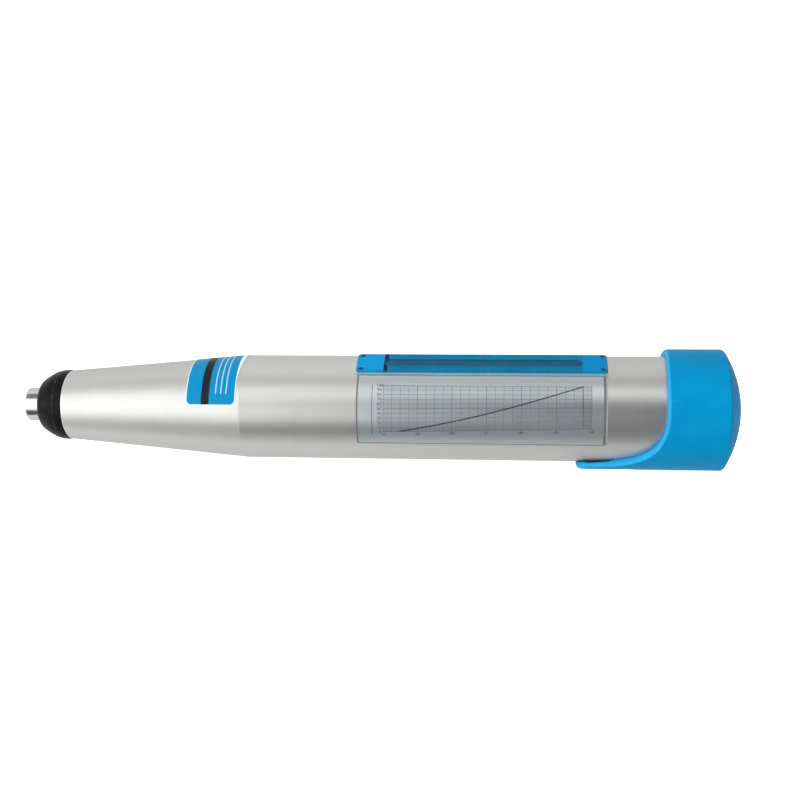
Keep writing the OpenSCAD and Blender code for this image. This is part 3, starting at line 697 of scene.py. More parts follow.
def blue_plastic(name, base, rim, rough):
    """Moulded blue plastic: fine grain, slow change of tone, scuffs, and paler edges, partly rubbed and
    partly a painted highlight on the lit rim.
    """
    made, place, edge = open_finish(name)
    height, drift = moulded_grain(Vector=place)
    smear, scuff = handling_marks(Vector=place)
    tone = drift.remap(0.35, 0.65).mix((base[0], 0.9 * base[1], 0.93 * base[2]), base)
    tone = (scuff * 0.1).mix(tone, rim)
    # Paler edges: wear, and on the boot's front rim also a painted highlight.
    tone = (edge * drift.remap(0.2, 0.8, 0.55, 0.9)).mix(tone, rim)
    return shade(made, tone, smear * 0.1 + rough, (height, 0.06, 0.0001), Specular_IOR_Level=0.05)


def felt_finish():
    """Grey felt: matted fibres from two layers of noise, with a soft sheen."""
    made, place, _ = open_finish("Grey felt")
    fibre = place.stretch(1.0, 1.6, 0.7).noise(2400.0, 6.0, 0.7)
    matted = place.noise(500.0, 4.0) * 0.5 + fibre
    tone = matted.mix((0.12, 0.12, 0.115), (0.4, 0.4, 0.38))
    return shade(made, tone, fibre.span(0.85, 1.0), (matted, 0.6, 0.0004), Sheen_Weight=0.3)


def clear_strip():
    """Tinted clear plastic with a few fine scratches along the strip."""
    made, place, _ = open_finish("Tinted window")
    scratch = place.stretch(25.0, 2600.0, 2600.0).noise(1.0).remap(0.66, 0.74)
    tint = colour("window")
    tone, rough = scratch.mix(tint, scaled(tint, 1.25)), scratch.span(0.12, 0.3)
    return shade(made, tone, rough, Specular_IOR_Level=0.05, Transmission_Weight=0.85, IOR=1.25)


def printed_ink(name, base):
    """Screen-printed ink: slightly broken up, matt."""
    made, place, _ = open_finish(name)
    speck = place.noise(3200.0, 3.0)
    tone = speck.remap(0.5, 0.8).mix(base, tuple(part + 0.06 for part in base))
    return shade(made, tone, speck.span(0.45, 0.7))


def plate_finish():
    """Blue anodised scale plate: zero bar, division ticks beside the opening, a thin violet line half way,
    and paler ends."""
    made, place, edge = open_finish("Scale plate blue")
    smear, _ = handling_marks(Vector=place)
    height, drift = moulded_grain(Vector=place)
    x, y, z = place.parts()
    across, _ = scale_axes(y, z)
    zero, last = NOSE_X + MARK_X * MM, NOSE_X + (MARK_X + SCALE_LEN) * MM
    space = SCALE_LEN * MM / 50
    (fine,) = ruled_lines(Coordinate=x, First=zero, Spacing=space, Last=last, Width=0.00016)
    (main,) = ruled_lines(Coordinate=x, First=zero, Spacing=5 * space, Last=last, Width=0.00022)
    ticks = fine * across.between(-0.0042, -0.0032) | main * across.between(-0.0048, -0.0032)
    printed = ticks | across.between(-0.0033, -0.00315) * x.between(zero, last)
    _, green, blue = base = colour("plate_blue")
    tone = drift.remap(0.35, 0.65).mix((0.0, 0.85 * green, 0.9 * blue), base)
    for mask, over in (
        (x < zero - 0.0008, (0.0, 1.6 * green, 1.75 * blue)),
        (x > last + 0.0075, (0.0, 1.25 * green, 1.4 * blue)),
        (printed * 0.8, (0.0, 0.02, 0.09)),
        (x.between(zero - 0.0013, zero + 0.0004), (0.008, 0.014, 0.022)),
        (x.between(NOSE_X + 0.1858, NOSE_X + 0.18615) * 0.75, (0.09, 0.02, 0.12)),
        # Painted shade: the rounded edges of the plate and of its opening are darkened.
        (edge * 0.6, (0.015, 0.12, 0.21)),
    ):
        tone = mask.mix(tone, over)
    return shade(made, tone, smear * 0.12 + 0.34, (height, 0.03, 0.0001), Specular_IOR_Level=0.05)


def chart_finish():
    """Printed film: ruled grid, a rising curve v = 0.11 + 0.469 u + 0.3635 u^2, a marker line and a frame.
    u runs along the barrel, on past 1 to a pale strip that is a painted highlight of the film's rear edge,
    and v upwards round it. The rows close up a little to the right: their share w is (v - 0.195 - lift) /
    (0.641 - lift) with lift = 0.0824 (u - 0.111)."""
    made, place, _ = open_finish("Chart film")
    props = bpy.context.scene.hammer_sizes
    smear, _ = handling_marks(Vector=place)
    u, v = print_map(made)
    u *= 1 + CHART_HIGHLIGHT_STRIP / CHART_LEN
    left, right, bottom, top = 0.111, 0.942, 0.195, 0.836
    column, row = (right - left) / props.chart_columns, 1.0 / props.chart_rows
    lift = (u - left) * 0.0824
    w = (v - bottom - lift) / (top - bottom - lift)
    grid = u.between(left - 0.001, right + 0.001) * w.between(-0.006, 1.006)

    def lines(coordinate, first, space, last, width):
        return ruled_lines(Coordinate=coordinate, First=first, Spacing=space, Last=last, Width=width)[0]

    ruled = (lines(u, left, column, right, 0.0023) | lines(w, 0.0, row, 1.0, 0.011)) * grid
    heavy = (lines(u, left, 4 * column, right, 0.0028) | lines(w, 0.0, 5 * row, 1.0, 0.013)) * grid
    curve = (abs(v - ((u * 0.3635 + 0.469) * u + 0.11)) < 0.0085) * u.between(0.176, 0.911)
    printed = curve | u.between(0.9065, 0.9095) * w.between(0.0, 0.98) * 0.8
    inside = u.between(0.0075, 0.9895) * v.between(0.016, 1.01)
    frame_line = u.between(0.001, 0.999) * v.between(0.004, 0.996) - inside
    # Painted highlight: the strip of film past the chart's rear end is pale, standing for light caught on the
    # film's rounded rear edge.
    lip = u > 0.9995
    base = colour("film")
    tone = smear.mix(base, (0.93 * base[0], 0.96 * base[1], base[2]))
    for mask, over in (
        (grid * 0.3, (0.18, 0.25, 0.28)),
        (ruled * 0.8, (0.07, 0.11, 0.125)),
        (heavy * 0.5, (0.05, 0.08, 0.09)),
        (u.between(0.064, 0.0668) * v.between(0.15, 0.85), (0.02, 0.17, 0.22)),
        (v.between(0.965, 1.01), (0.72, 0.77, 0.77)),
        (frame_line * 0.85, (0.04, 0.04, 0.036)),
        (lip, (0.3, 0.315, 0.315)),
        (printed, colour("ink")),
    ):
        tone = mask.mix(tone, over)
    metal = (printed | ruled | frame_line | lip).span(0.9, 0.2)
    rough = smear.span(0.26, 0.34)
    return shade(made, tone, rough, Metallic=metal, Coat_Weight=0.1, Coat_Roughness=0.12)


def label_finish():
    """Printed blue label: thin white border round a field with round corners, a black stripe across, and
    blank ruled fields. A point is in the field where its distance past the corner's centre is less than the
    radius."""
    made, place, _ = open_finish("Label film")
    smear, _ = handling_marks(Vector=place)
    u, v = print_map(made)
    long, tall = LABEL_REAR - LABEL_FRONT, (NOSE_R + CONE_SLOPE * LABEL_FRONT) * (LABEL_HIGH - LABEL_LOW)
    border, corner = 0.3, bpy.context.scene.hammer_sizes.label_corner / MM

    def past(share, length):
        return abs((share - 0.5) * length) - (length / 2 - border - corner) | 0.0

    along, up = past(u, long), past(v, tall)
    inner = along * along + up * up < corner**2
    (fields,) = ruled_lines(Coordinate=u, First=0.6, Spacing=0.105, Last=0.82, Width=0.022)
    tone = (smear * 0.12).mix(colour("label_blue"), (0.02, 0.36, 0.72))
    tone = (fields * v.between(0.12, 0.88) * 0.6).mix(tone, (0.62, 0.72, 0.8))
    tone = (u.between(0.31, 0.47) * inner).mix(tone, (0.01, 0.012, 0.016))
    tone = inner.mix((0.66, 0.78, 0.84), tone)
    return shade(made, tone, smear.span(0.26, 0.4), Specular_IOR_Level=0.1)


def rider_finish():
    """Black rider with a white index line across its middle."""
    made, place, edge = open_finish("Rider black")
    height, drift = moulded_grain(Vector=place)
    x, _, _ = place.parts()
    line = x.between(NOSE_X + (MARK_X - 0.18) * MM, NOSE_X + (MARK_X + 0.18) * MM)
    tone = drift.mix(colour("cap_black"), (0.03, 0.032, 0.036))
    tone = line.mix((edge * 0.4).mix(tone, (0.08, 0.08, 0.085)), (0.75, 0.75, 0.73))
    return shade(made, tone, drift.span(0.35, 0.5), (height, 0.05, 0.0001))


# Shapes and operators


def body_surface(profile, arcs):
    """Rows follow the closed profile of (along, radius), columns go round. Near the scale the columns keep
    a fixed distance across, so the flat's sides, its ends and the slot run along grid lines. A row on the
    flat takes its height for those columns, a round row takes sqrt(radius^2 - across^2)."""
    fillet = 0.4
    a = quarter(5)
    wall_y = joined([FLAT_HALF, FLAT_HALF], FLAT_HALF - fillet * (1 - np.cos(a[1:])))
    wall_drop = joined([np.inf, fillet], fillet * (1 - np.sin(a[1:])))
    shelf, trench = np.linspace(FLAT_HALF - fillet, SLOT_HALF, 4), np.linspace(SLOT_HALF, 0, 6)
    flat_y = joined(shelf[1:], trench[1:])
    side_y = joined(wall_y, flat_y)
    drop_y = joined(wall_drop, np.zeros(len(flat_y)))
    spread_y = joined(np.linspace(FLAT_HALF, FLAT_HALF - fillet, len(wall_y)), flat_y)
    block_y = joined(-side_y, side_y[-2::-1])
    plain_y = joined(-spread_y, spread_y[-2::-1])
    drop = joined(drop_y, drop_y[-2::-1])

    rise = quarter(4)
    ramp = fillet * (1 - np.cos(rise))
    tops = FLAT_TOP - fillet + fillet * np.sin(rise)
    front = np.column_stack([FLAT_FRONT + ramp, tops])
    rear = np.column_stack([FLAT_REAR - ramp, tops])[::-1]
    slot = [(SLOT_FRONT, FLAT_TOP), (SLOT_REAR, FLAT_TOP)]
    flat = joined(front, slot, rear)
    ends = np.array([(FLAT_FRONT, np.nan), (FLAT_REAR, np.nan)])
    flat = joined(ends[:1], flat, ends[1:])
    outer = np.flatnonzero((profile[:, 1] > BARREL_R - 0.01) & (profile[:, 0] < FLAT_FRONT))[-1] + 1
    bore = np.flatnonzero(np.isclose(profile[:, 1], BORE_R) & (profile[:, 0] > SLOT_REAR))[-1] + 1
    inner = np.array([(SLOT_REAR, BORE_R), (SLOT_FRONT, BORE_R)])
    middle = np.column_stack([flat[:, 0], np.full(len(flat), BARREL_R)])
    rows = joined(profile[:outer], middle, profile[outer:bore], inner, profile[bore:])
    height = np.full(len(rows), np.nan)
    height[outer : outer + len(flat)] = flat[:, 1]
    wear = joined(arcs[:outer], np.zeros(len(flat)), arcs[outer:bore], np.zeros(2), arcs[bore:])

    s, r = rows[:, :1], rows[:, 1:]
    plain_out = np.sqrt(r**2 - plain_y**2)
    base_out = np.sqrt(r**2 - FLAT_HALF**2)
    block_out = np.where(np.isinf(drop), base_out, height[:, None] - np.where(np.isinf(drop), 0, drop))
    raised = ~np.isnan(height)[:, None]
    scale_y = np.where(raised, block_y, plain_y)
    scale_out = np.where(raised, block_out, plain_out)
    start = np.arcsin(FLAT_HALF / r)
    t = np.linspace(0, 1, SEGMENTS - 30)[1:-1]
    turn = start + t * (2 * math.pi - 2 * start)
    across = np.concatenate([scale_y, r * np.sin(turn)], axis=1)
    out = np.concatenate([scale_out, r * np.cos(turn)], axis=1)
    points = stacked(np.broadcast_to(s, across.shape), across, out)

    first_col = int(np.flatnonzero(np.isclose(block_y, -SLOT_HALF))[0])
    last_col = int(np.flatnonzero(np.isclose(block_y, SLOT_HALF))[0])
    top = outer + 1 + len(front)
    floor = bore + len(flat)
    cut = np.zeros(across.shape, bool)
    cut[top, first_col:last_col] = True
    cut[floor, first_col:last_col] = True
    cols = np.arange(first_col, last_col + 1)
    above = joined(points[top, cols], points[top + 1, cols[::-1]])
    below = joined(points[floor + 1, cols], points[floor, cols[::-1]])
    wall = patch(np.stack([above, below]), wrap_cols=True)
    return [patch(points, wrap_rows=True, wrap_cols=True, wear=wear, drop=cut), wall]


class HAMMER_OT_housing(bpy.types.Operator):
    """Body: cone, barrel, the flat for the scale with its slot, and the bore"""

    bl_idname = "hammer.housing"
    bl_label = "Body"

    def execute(self, context):
        edge = sizes()["nose_edge"]
        corners = [
            (-6, NECK_HOLE), (-6, NECK_R), (0, NECK_R), (0, NOSE_R), (NOSE_LEN, BARREL_R),
            (BODY_END, BARREL_R), (BODY_END, COVER_R), (COVER_SEAT, COVER_R), (COVER_SEAT, BORE_R),
            (NOSE_LEN + 3, BORE_R), (20, SLEEVE_SEAT), (5, SLEEVE_SEAT), (5, NECK_HOLE),
        ]
        radii = [0.2, 0.4, 0.2, edge, 4.0, 0.3, 0.2, 0.1, 0.2, 2.0, 2.0, 0.2, 0.2]
        profile, arcs = rounded(corners, radii)
        arcs[np.abs(profile[:, 0] - NOSE_LEN) < 6] = 0.0
        mesh = make_mesh("housing_body", body_surface(profile, arcs), on_scale)
        for floor, radius in ((POCKET_FLOOR, POCKET_R), (10, LOCK_HOLE)):
            hole = np.array([(floor, 0), (floor, radius), (30, radius), (30, 0)])
            mesh = carve(mesh, [posted(hole, BUTTON_X)], on_button)
        make_piece("housing_body", mesh, None, "housing", satin_aluminium(), ["housing"])
        return {"FINISHED"}


class HAMMER_OT_front_cap(bpy.types.Operator):
    """Black cap: rounded front, a groove, and a wider band against the nose"""

    bl_idname = "hammer.front_cap"
    bl_label = "Front cap"

    def execute(self, context):
        edge = sizes()["cap_edge"]
        face, wall, thread_end = -12.4, -10.9, -8.5
        hole_r, felt_r, thread_r = 8.0, 10.6, 13.05
        t = np.linspace(0, 1, 16) ** 1.6
        front = np.column_stack([face + 5.7 * t, 10.9 + 3.7 * t**0.75])
        hole, hole_arcs = rounded(
            [(wall, felt_r), (wall, hole_r), (face, hole_r), (face, 10.7)], [0.2, 0.2, edge, 0], closed=False
        )
        band, band_arcs = rounded(
            [(-6.7, 14.6), (-6.5, 14.45), (-6.3, 14.9), (-3.5, 15.65), (-0.5, 15.7), (0, 15.2), (0, thread_r),
             (thread_end, thread_r), (thread_end, felt_r)],
            [0, 0.05, edge, 4.0, edge, 0.2, 0.1, 0.1, 0],
            closed=False,
        )
        profile = joined(hole, front[1:], band)
        arcs = joined(hole_arcs, np.zeros(len(front) - 1), band_arcs)
        shape = [turned(profile, arcs)]
        make_piece("nose_cap", shape, on_axis, "housing", black_paint(), ["front_cap"])
        return {"FINISHED"}


class HAMMER_OT_plunger(bpy.types.Operator):
    """Polished plunger with a round tip of 25 mm radius, bored from behind"""

    bl_idname = "hammer.plunger"
    bl_label = "Plunger"

    def execute(self, context):
        tip, radius, reach = -21.0, 25.0, 7.5
        sweep = np.linspace(0, math.asin(6.4 / radius), 8)
        nose = np.column_stack([tip + radius * (1 - np.cos(sweep)), radius * np.sin(sweep)])
        shoulder = tip + radius - math.sqrt(radius**2 - reach**2)
        rear, bore, bore_end = 90, 5.06, 21.7
        profile, wear = following(
            nose,
            [(shoulder, reach), (rear, reach), (rear, bore), (bore_end, bore), (bore_end, 0)],
            [sizes()["tip_edge"], 0.4, 0.2, 0.4, 0],
        )
        finish = steel("Polished plunger", (0.72, 0.72, 0.72), 0.1, 1.4, 0.03, 0.06)
        shape = [turned(profile, wear, closed=False)]
        make_piece("plunger_rod", shape, on_axis, "plunger", finish, ["plunger"])
        return {"FINISHED"}


class HAMMER_OT_springs(bpy.types.Operator):
    """Five coil springs of round wire with closed ends"""

    bl_idname = "hammer.springs"
    bl_label = "Springs"

    def execute(self, context):
        finish = spring_steel()
        pawl_stop, buffer_front, buffer_len, button_seat = 244.2, 22.0, 17.7, 20.9
        press_front, press_len = 252.2, 31.4

        def spring(name, body, shape, node_name, place=on_axis):
            return make_piece(name, [shape], place, body, finish, [node_name])

        spring("impact_coil", "housing", coil(46.2, 61.5, 11.365, 2.0, 17), "impact_spring")
        tail = spring("pawl_coil", "carriage", coil(pawl_stop, 5.4, 1.8, 0.6, 4), "pawl_spring")
        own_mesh(tail)
        shape = coil(buffer_front, buffer_len, 4.2, 1.2, 6)
        buffer = spring("buffer_coil", "carriage", shape, "buffer_spring")
        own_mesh(buffer)

        shape = coil(press_front, press_len, 14.0, 1.8, 11)
        press = spring("press_coil", None, shape, "compression_spring")
        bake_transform(press)

        def upright(points):
            out, across, along = np.moveaxis(points, -1, 0)
            return on_button(stacked(along + BUTTON_X, across, out))

        shape = coil(button_seat, 3.1, 3.842, 0.5, 2.25)
        button = spring("button_coil", "housing", shape, "button_spring", upright)
        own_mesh(button)
        return {"FINISHED"}


def boot_front():
    """Half of the front edge, from the tongue's tip to the top: places along, angles from straight down,
    and the angle that each point has on the ring behind. The tongue's corner is an arc, and its side runs
    into the boot by an arc of 37.5 mm: y = half + R - R cos b, along = start + R sin b. The upper half
    leans back a little."""
    tip_y = np.linspace(0, TONGUE_HALF - TONGUE_CORNER, 6)
    bend = quarter(13)[1:]
    side = np.linspace(TONGUE_TIP + TONGUE_CORNER, FLARE_X, 6)[1:]
    sweep = np.linspace(math.asin(TONGUE_HALF / BOOT_R), HALF_PI, 34)[1:]
    flare_y = BOOT_R * np.sin(sweep)
    flare_s = FLARE_X + np.sqrt(FLARE_R**2 - (TONGUE_HALF + FLARE_R - flare_y) ** 2)
    top = np.linspace(HALF_PI, math.pi, 37)[1:]
    upper_s = BOOT_FRONT + BOOT_LEAN * (1 - np.sin(top)) ** 1.5
    corner_s = TONGUE_TIP + TONGUE_CORNER * (1 - np.cos(bend))
    along = joined(np.full(6, TONGUE_TIP), corner_s, side, flare_s, upper_s)
    corner_y = TONGUE_HALF - TONGUE_CORNER + TONGUE_CORNER * np.sin(bend)
    low = np.arcsin(joined(tip_y, corner_y, np.full(5, TONGUE_HALF)) / BOOT_R)
    angle = joined(low, sweep, top)
    knots = np.cumsum([0, 5, 12, 5, 33])
    behind = np.interp(np.arange(knots[-1] + 1), knots, np.radians([0, 5, 11, 15, 90]))
    return along, angle, joined(behind, top)


def boot_shell(rim, shoulder):
    """Rows run from the outer pole over the dome and the wall to the front edge, round its rim, and back
    inside to the inner pole. Behind the ring a row is a circle; in front of it the rows run straight, in
    place along and angle, from the ring to the edge. The underside is flat where radius cos(angle) would
    pass the flat, and the tongue's inner side closes on the barrel at its tip."""
    along, angle, behind = boot_front()
    tangent = np.stack([np.gradient(along), BOOT_R * np.gradient(angle)])
    tangent[:, [0, -1]] = [[0, 0], [1, 1]]
    tangent /= np.linalg.norm(tangent, axis=0)
    both = joined(np.arange(len(along)), np.arange(len(along) - 2, 0, -1))
    mirror = joined(np.ones(len(along)), -np.ones(len(along) - 2))
    edge_s, edge_a, ring_a = along[both], mirror * angle[both], mirror * behind[both]
    in_s, in_a = tangent[1][both], -mirror * tangent[0][both] / BOOT_R

    def flattened(radius, turn):
        down = np.cos(turn)
        return np.where(down > 0.5, np.minimum(radius, BOOT_FLAT / np.maximum(down, 0.5)), radius)

    def inner(s):
        gap = TONGUE_INNER - BOOT_BORE
        at_tip = 0.65 * gap * smooth(1 - (s - TONGUE_TIP) / 7.0)
        return TONGUE_INNER - gap * smooth((s - TONGUE_GAP_END) / 2.5 + 1) - at_tip

    rows, wear = [], []

    def add(s, turn, radius, worn):
        s, turn, radius = np.broadcast_arrays(s, turn, radius)
        rows.append(stacked(s, radius * np.sin(turn), -radius * np.cos(turn)))
        wear.append(worn)

    sweep = np.linspace(0, math.asin(DOME_EDGE / DOME_R), 11)
    dome = np.column_stack([DOME_APEX - DOME_R * (1 - np.cos(sweep)), DOME_R * np.sin(sweep)])
    shoulders = [(DOME_START, DOME_EDGE), (CHAMFER, BOOT_R), (BOOT_RING, BOOT_R)]
    outer, arcs = following(dome[:-1], shoulders, [shoulder, shoulder, 0], steps=7)
    for (s, radius), worn in zip(outer, 0.08 * arcs):
        add(s, ring_a, flattened(radius, ring_a), worn)
    reach = rim + 1.6 * np.clip((FLARE_X - edge_s) / (FLARE_X - TONGUE_TIP), 0, 1) ** 2
    near_s, near_a = edge_s + in_s * (reach + 0.5), edge_a + in_a * (reach + 0.5)
    for t in np.linspace(0, 1, 14)[1:]:
        turn = ring_a + (near_a - ring_a) * t
        add(BOOT_RING + (near_s - BOOT_RING) * t, turn, flattened(BOOT_R, turn), 0.0)
    # The rim and the inner lip get a high edge weight, which the finish paints paler blue: partly wear,
    # partly a painted highlight on the lit rim.
    for a in quarter(8):
        away = reach * (1 - math.sin(a))
        turn = edge_a + in_a * away
        radius = flattened(BOOT_R, turn) - rim * (1 - math.cos(a))
        add(edge_s + in_s * away, turn, radius, math.sin(a) ** 0.5)
    lip = 0.2
    for a in np.linspace(HALF_PI, 0, 5):
        away = lip * (1 - math.sin(a))
        s, turn = edge_s + in_s * away, edge_a + in_a * away
        add(s, turn, inner(s) + lip * (1 - math.cos(a)), 0.6 * math.sin(a))
    lip_s, lip_a = edge_s + in_s * lip, edge_a + in_a * lip
    for t in np.linspace(0, 1, 12)[1:]:
        s = lip_s + (BOOT_RING - lip_s) * t
        add(s, lip_a + (ring_a - lip_a) * t, inner(s), 0.0)
    cup, _ = rounded(
        [(BOOT_RING + 0.5, BOOT_BORE), (CUP_SEAT, BOOT_BORE), (CUP_SEAT, 20), (287.7, 20), (291.4, 10),
         (291.4, 0)],
        [0, 0.2, 0.3, 0.5, 0.5, 0],
        closed=False,
    )
    for s, radius in cup:
        add(s, ring_a, radius, 0.0)
    return patch(np.stack(rows), wrap_cols=True, wear=wear)


class HAMMER_OT_end_boot(bpy.types.Operator):
    """Blue boot: a domed cup with a flared tongue under the barrel, and the button in it"""

    bl_idname = "hammer.end_boot"
    bl_label = "End boot"

    def execute(self, context):
        size = sizes()
        mesh = make_mesh("boot_shell", [boot_shell(size["boot_rim"], size["boot_shoulder"])], on_axis)
        pocket = [(20, 0), (20, POCKET_R), (24, POCKET_R)]
        hole = np.array([*pocket, (24, BUTTON_HOLE), (25, BUTTON_HOLE), (26.4, 8), (26.4, 0)])
        mesh = carve(mesh, [posted(hole, BUTTON_X)], on_button)
        blue = blue_plastic("Boot blue", colour("boot_blue"), colour("rim_blue"), 0.36)
        make_piece("boot_shell", mesh, None, "housing", blue, ["end_boot"])

        face_r, groove = 5.2, 1.3
        ring = np.linspace(0.0, face_r, 40)
        dish = 24.93 + 0.2 * (ring / face_r) ** 2 + 0.05 * np.cos(ring * 2 * math.pi / groove)
        profile, wear = following(
            np.column_stack([dish, ring]),
            [(25.2, BUTTON_R), (23.85, BUTTON_R), (23.85, 7.5), (23.2, 7.5), (23.2, 4.39), (24.3, 4.39),
             (24.3, 0)],
            [0.6, 0.1, 0.15, 0.1, 0.1, 0.1, 0],
        )
        dark = blue_plastic("Button blue", (0.0, 0.17, 0.42), (0.03, 0.3, 0.62), 0.4)
        shape = [posted(profile, BUTTON_X, arcs=wear)]
        make_piece("button_cap", shape, on_button, "button", dark, ["push_button"])
        return {"FINISHED"}


def moved(shape, x, y, across):
    """A patch moved to (x, y), turned by a quarter first where it lies across."""
    points = shape["points"]
    if across:
        points = stacked(-points[:, 1], points[:, 0], points[:, 2])
    return {**shape, "points": points + np.array([x, y, 0.0])}


def plate_ring(edge):
    """Ring of loops: up the outer wall, round its edge, over the face to the opening, down its wall, out
    along the window's rebate, and back underneath."""
    rows = []

    def outer(inset, height, worn=0.0):
        front, rear, half = PLATE_FRONT + inset, PLATE_REAR - inset, PLATE_HALF - inset
        rows.append((track(front, rear, half, PLATE_CORNER - inset), height, worn))

    def opening(outset, height, worn=0.0):
        half = OPENING_HALF + outset
        rows.append((track(OPENING_FRONT - outset, OPENING_REAR + outset, half, half), height, worn))

    a = quarter(5)
    arc = list(zip(edge * (1 - np.cos(a)), PLATE_TOP - edge + edge * np.sin(a)))
    outer(0.1, FLAT_TOP)
    outer(0.0, FLAT_TOP + 0.1)
    for inset, height in arc:
        outer(inset, height, 1.0)
    outer(edge + 0.2, PLATE_TOP)
    opening(edge + 0.2, PLATE_TOP)
    for outset, height in arc[::-1]:
        opening(outset, height, 1.0)
    opening(0.0, REBATE_TOP)
    for height in (REBATE_TOP, FLAT_TOP):
        rows.append((track(REBATE_FRONT, REBATE_REAR, REBATE_HALF, 0.3), height, 0.0))
    loops, heights, wear = zip(*rows)
    return lofted(loops, heights, closed=True, wear=wear)


class HAMMER_OT_scale(bpy.types.Operator):
    """Scale: framed plate, clear window, four screws, the rider, and small numbers"""

    bl_idname = "hammer.scale"
    bl_label = "Scale"

    def execute(self, context):
        mesh = make_mesh("scale_frame", [plate_ring(sizes()["plate_edge"])], on_scale)
        seat = [(22, 0), (22, 0.8), (23.9, 0.8), (23.9, 1.12), (24.25, 1.12), (24.6, 1.4), (24.6, 0)]
        mesh = carve(mesh, [posted(np.array(seat), x, y, segments=40) for x, y in SCREWS], on_scale)
        make_piece("scale_frame", mesh, None, "housing", plate_finish(), ["scale_plate"])

        strip = cushion(REBATE_FRONT + 0.1, REBATE_REAR - 0.1, 3.9, 0.3, FLAT_TOP, FLAT_TOP + 0.55, 0.08)
        clear = clear_strip()
        make_piece("window_strip", [strip], on_scale, "housing", clear, ["scale_window"])

        stem, arcs = rounded(
            [(24.36, 0), (24.28, 1.06), (23.9, 1.06), (23.9, 0.74), (22.6, 0.74), (22.6, 0)],
            [0, 0.12, 0.05, 0.05, 0.2, 0],
            closed=False,
        )
        stems = [posted(stem, x, y, arcs=arcs, segments=40) for x, y in SCREWS]
        heads = make_mesh("plate_screws", stems, on_scale)
        slot = cushion(-0.72, 0.72, 0.16, 0.02, 24.08, 24.8, 0.01, 2)
        for across in (False, True):
            heads = carve(heads, [moved(slot, x, y, across) for x, y in SCREWS], on_scale)
        blued = steel("Blued screws", (0.05, 0.13, 0.22), 0.35)
        make_piece("plate_screws", heads, None, "housing", blued, ["scale_screws"])

        block = make_mesh("rider_block", [cushion(141.4, 148.4, 3.2, 0.6, 18.8, 23.1, 0.35)], on_scale)
        bore = np.array([(130, 0), (130, ROD_HOLE), (160, ROD_HOLE), (160, 0)])
        hole = turned(bore, closed=False, segments=48)
        hole["points"] = hole["points"] + np.array([0.0, 0.0, ROD_OUT])
        block = carve(block, [hole], on_scale)
        make_piece("rider_block", block, None, "rider", rider_finish(), ["rider"])

        ink = printed_ink("Plate ink", (0.0, 0.02, 0.09))
        entries = [(str(n), MARK_X + SCALE_LEN * n / 100, -5.35, 0.75) for n in range(10, 101, 10)]

        def lay(points):
            return on_scale(points + np.array([0.0, 0.0, PLATE_TOP + 0.005]))

        figures("scale_figures", entries, lay, "housing", ink)
        return {"FINISHED"}


def film_sheet(front, rear, low, high, radius, slope, thick, corner, lean=0.0):
    """Thin curved sheet on a cone: (u, v) goes to along = front + u long and angle = low + v (high - low),
    at radius + slope (along - front). Near the ends of v the length is drawn in by the corners' arcs, and
    the rear edge leans back by up to lean. The top and the bottom are joined round the rim."""
    cols, rows = 64, 60
    tall = radius * (high - low)
    near = np.linspace(0, 1, 9) ** 2 * corner / tall
    v = joined(near, np.linspace(near[-1], 1 - near[-1], rows)[1:-1], 1 - near[::-1])
    depth = np.clip(corner - tall * np.minimum(v, 1 - v), 0, corner)
    draw = corner - np.sqrt(np.maximum(corner**2 - depth**2, 0))
    u = np.linspace(0, 1, cols)[:, None]
    back = rear + lean * np.clip((v - 0.26) / 0.36, 0, 1)
    along = front + draw + u * (back - front - 2 * draw)
    angle = (low + v * (high - low))[None]
    level = radius + slope * (along - front)
    top, bottom = round_axis(along, level + thick, angle), round_axis(along, level, angle)
    sheet = patch(joined(top, bottom[::-1]), wrap_rows=True)
    real = stacked((along - front) / (rear - front), np.broadcast_to(v, along.shape))
    real = joined(real, real[::-1]).reshape(-1, 2)
    sheet["map"] = real[sheet["faces"]]
    pieces = [sheet]
    for k in (0, -1):
        side = patch(np.stack([top[:, k], bottom[:, k]]))
        flat = real.reshape(2 * cols, -1, 2)[:cols, k]
        side["map"] = joined(flat, flat)[side["faces"]]
        pieces.append(side)
    return pieces


class HAMMER_OT_films(bpy.types.Operator):
    """Chart on the barrel and label on the cone, as thin printed films, with the chart's numbers"""

    bl_idname = "hammer.films"
    bl_label = "Chart and label"

    def execute(self, context):
        size = sizes()
        rear = CHART_FRONT + CHART_LEN + CHART_HIGHLIGHT_STRIP
        chart = film_sheet(CHART_FRONT, rear, CHART_LOW, CHART_HIGH, CHART_R - CHART_T, 0.0, CHART_T, 0.5)
        printed = chart_finish()
        make_piece("chart_film", chart, on_axis, "housing", printed, ["chart_plate"], 40)
        radius = NOSE_R + CONE_SLOPE * LABEL_FRONT + 0.02
        label = film_sheet(
            LABEL_FRONT, LABEL_REAR, LABEL_LOW, LABEL_HIGH, radius, CONE_SLOPE, LABEL_T, size["label_corner"],
            LABEL_LEAN,
        )
        printed = label_finish()
        make_piece("label_film", label, on_axis, "housing", printed, ["name_label"], 40)

        long, tall = CHART_LEN, CHART_R * (CHART_HIGH - CHART_LOW)
        height = 0.72 * size["figure_height"]
        rows = [(str(10 * n), 0.096, 0.194 + 0.0642 * n) for n in range(11)]
        columns = [(str(20 + 5 * n), 0.111 + 0.1385 * n, 0.155 + 0.0114 * n) for n in range(7)]
        entries = [(text, u * long, v * tall, height) for text, u, v in rows + columns]

        def lay(points):
            along, up, out = np.moveaxis(points, -1, 0)
            return on_axis(round_axis(CHART_FRONT + along, CHART_R + 0.01 + out, CHART_LOW + up / CHART_R))

        ink = printed_ink("Chart ink", colour("ink"))
        figures("chart_figures", entries, lay, "housing", ink)
        return {"FINISHED"}


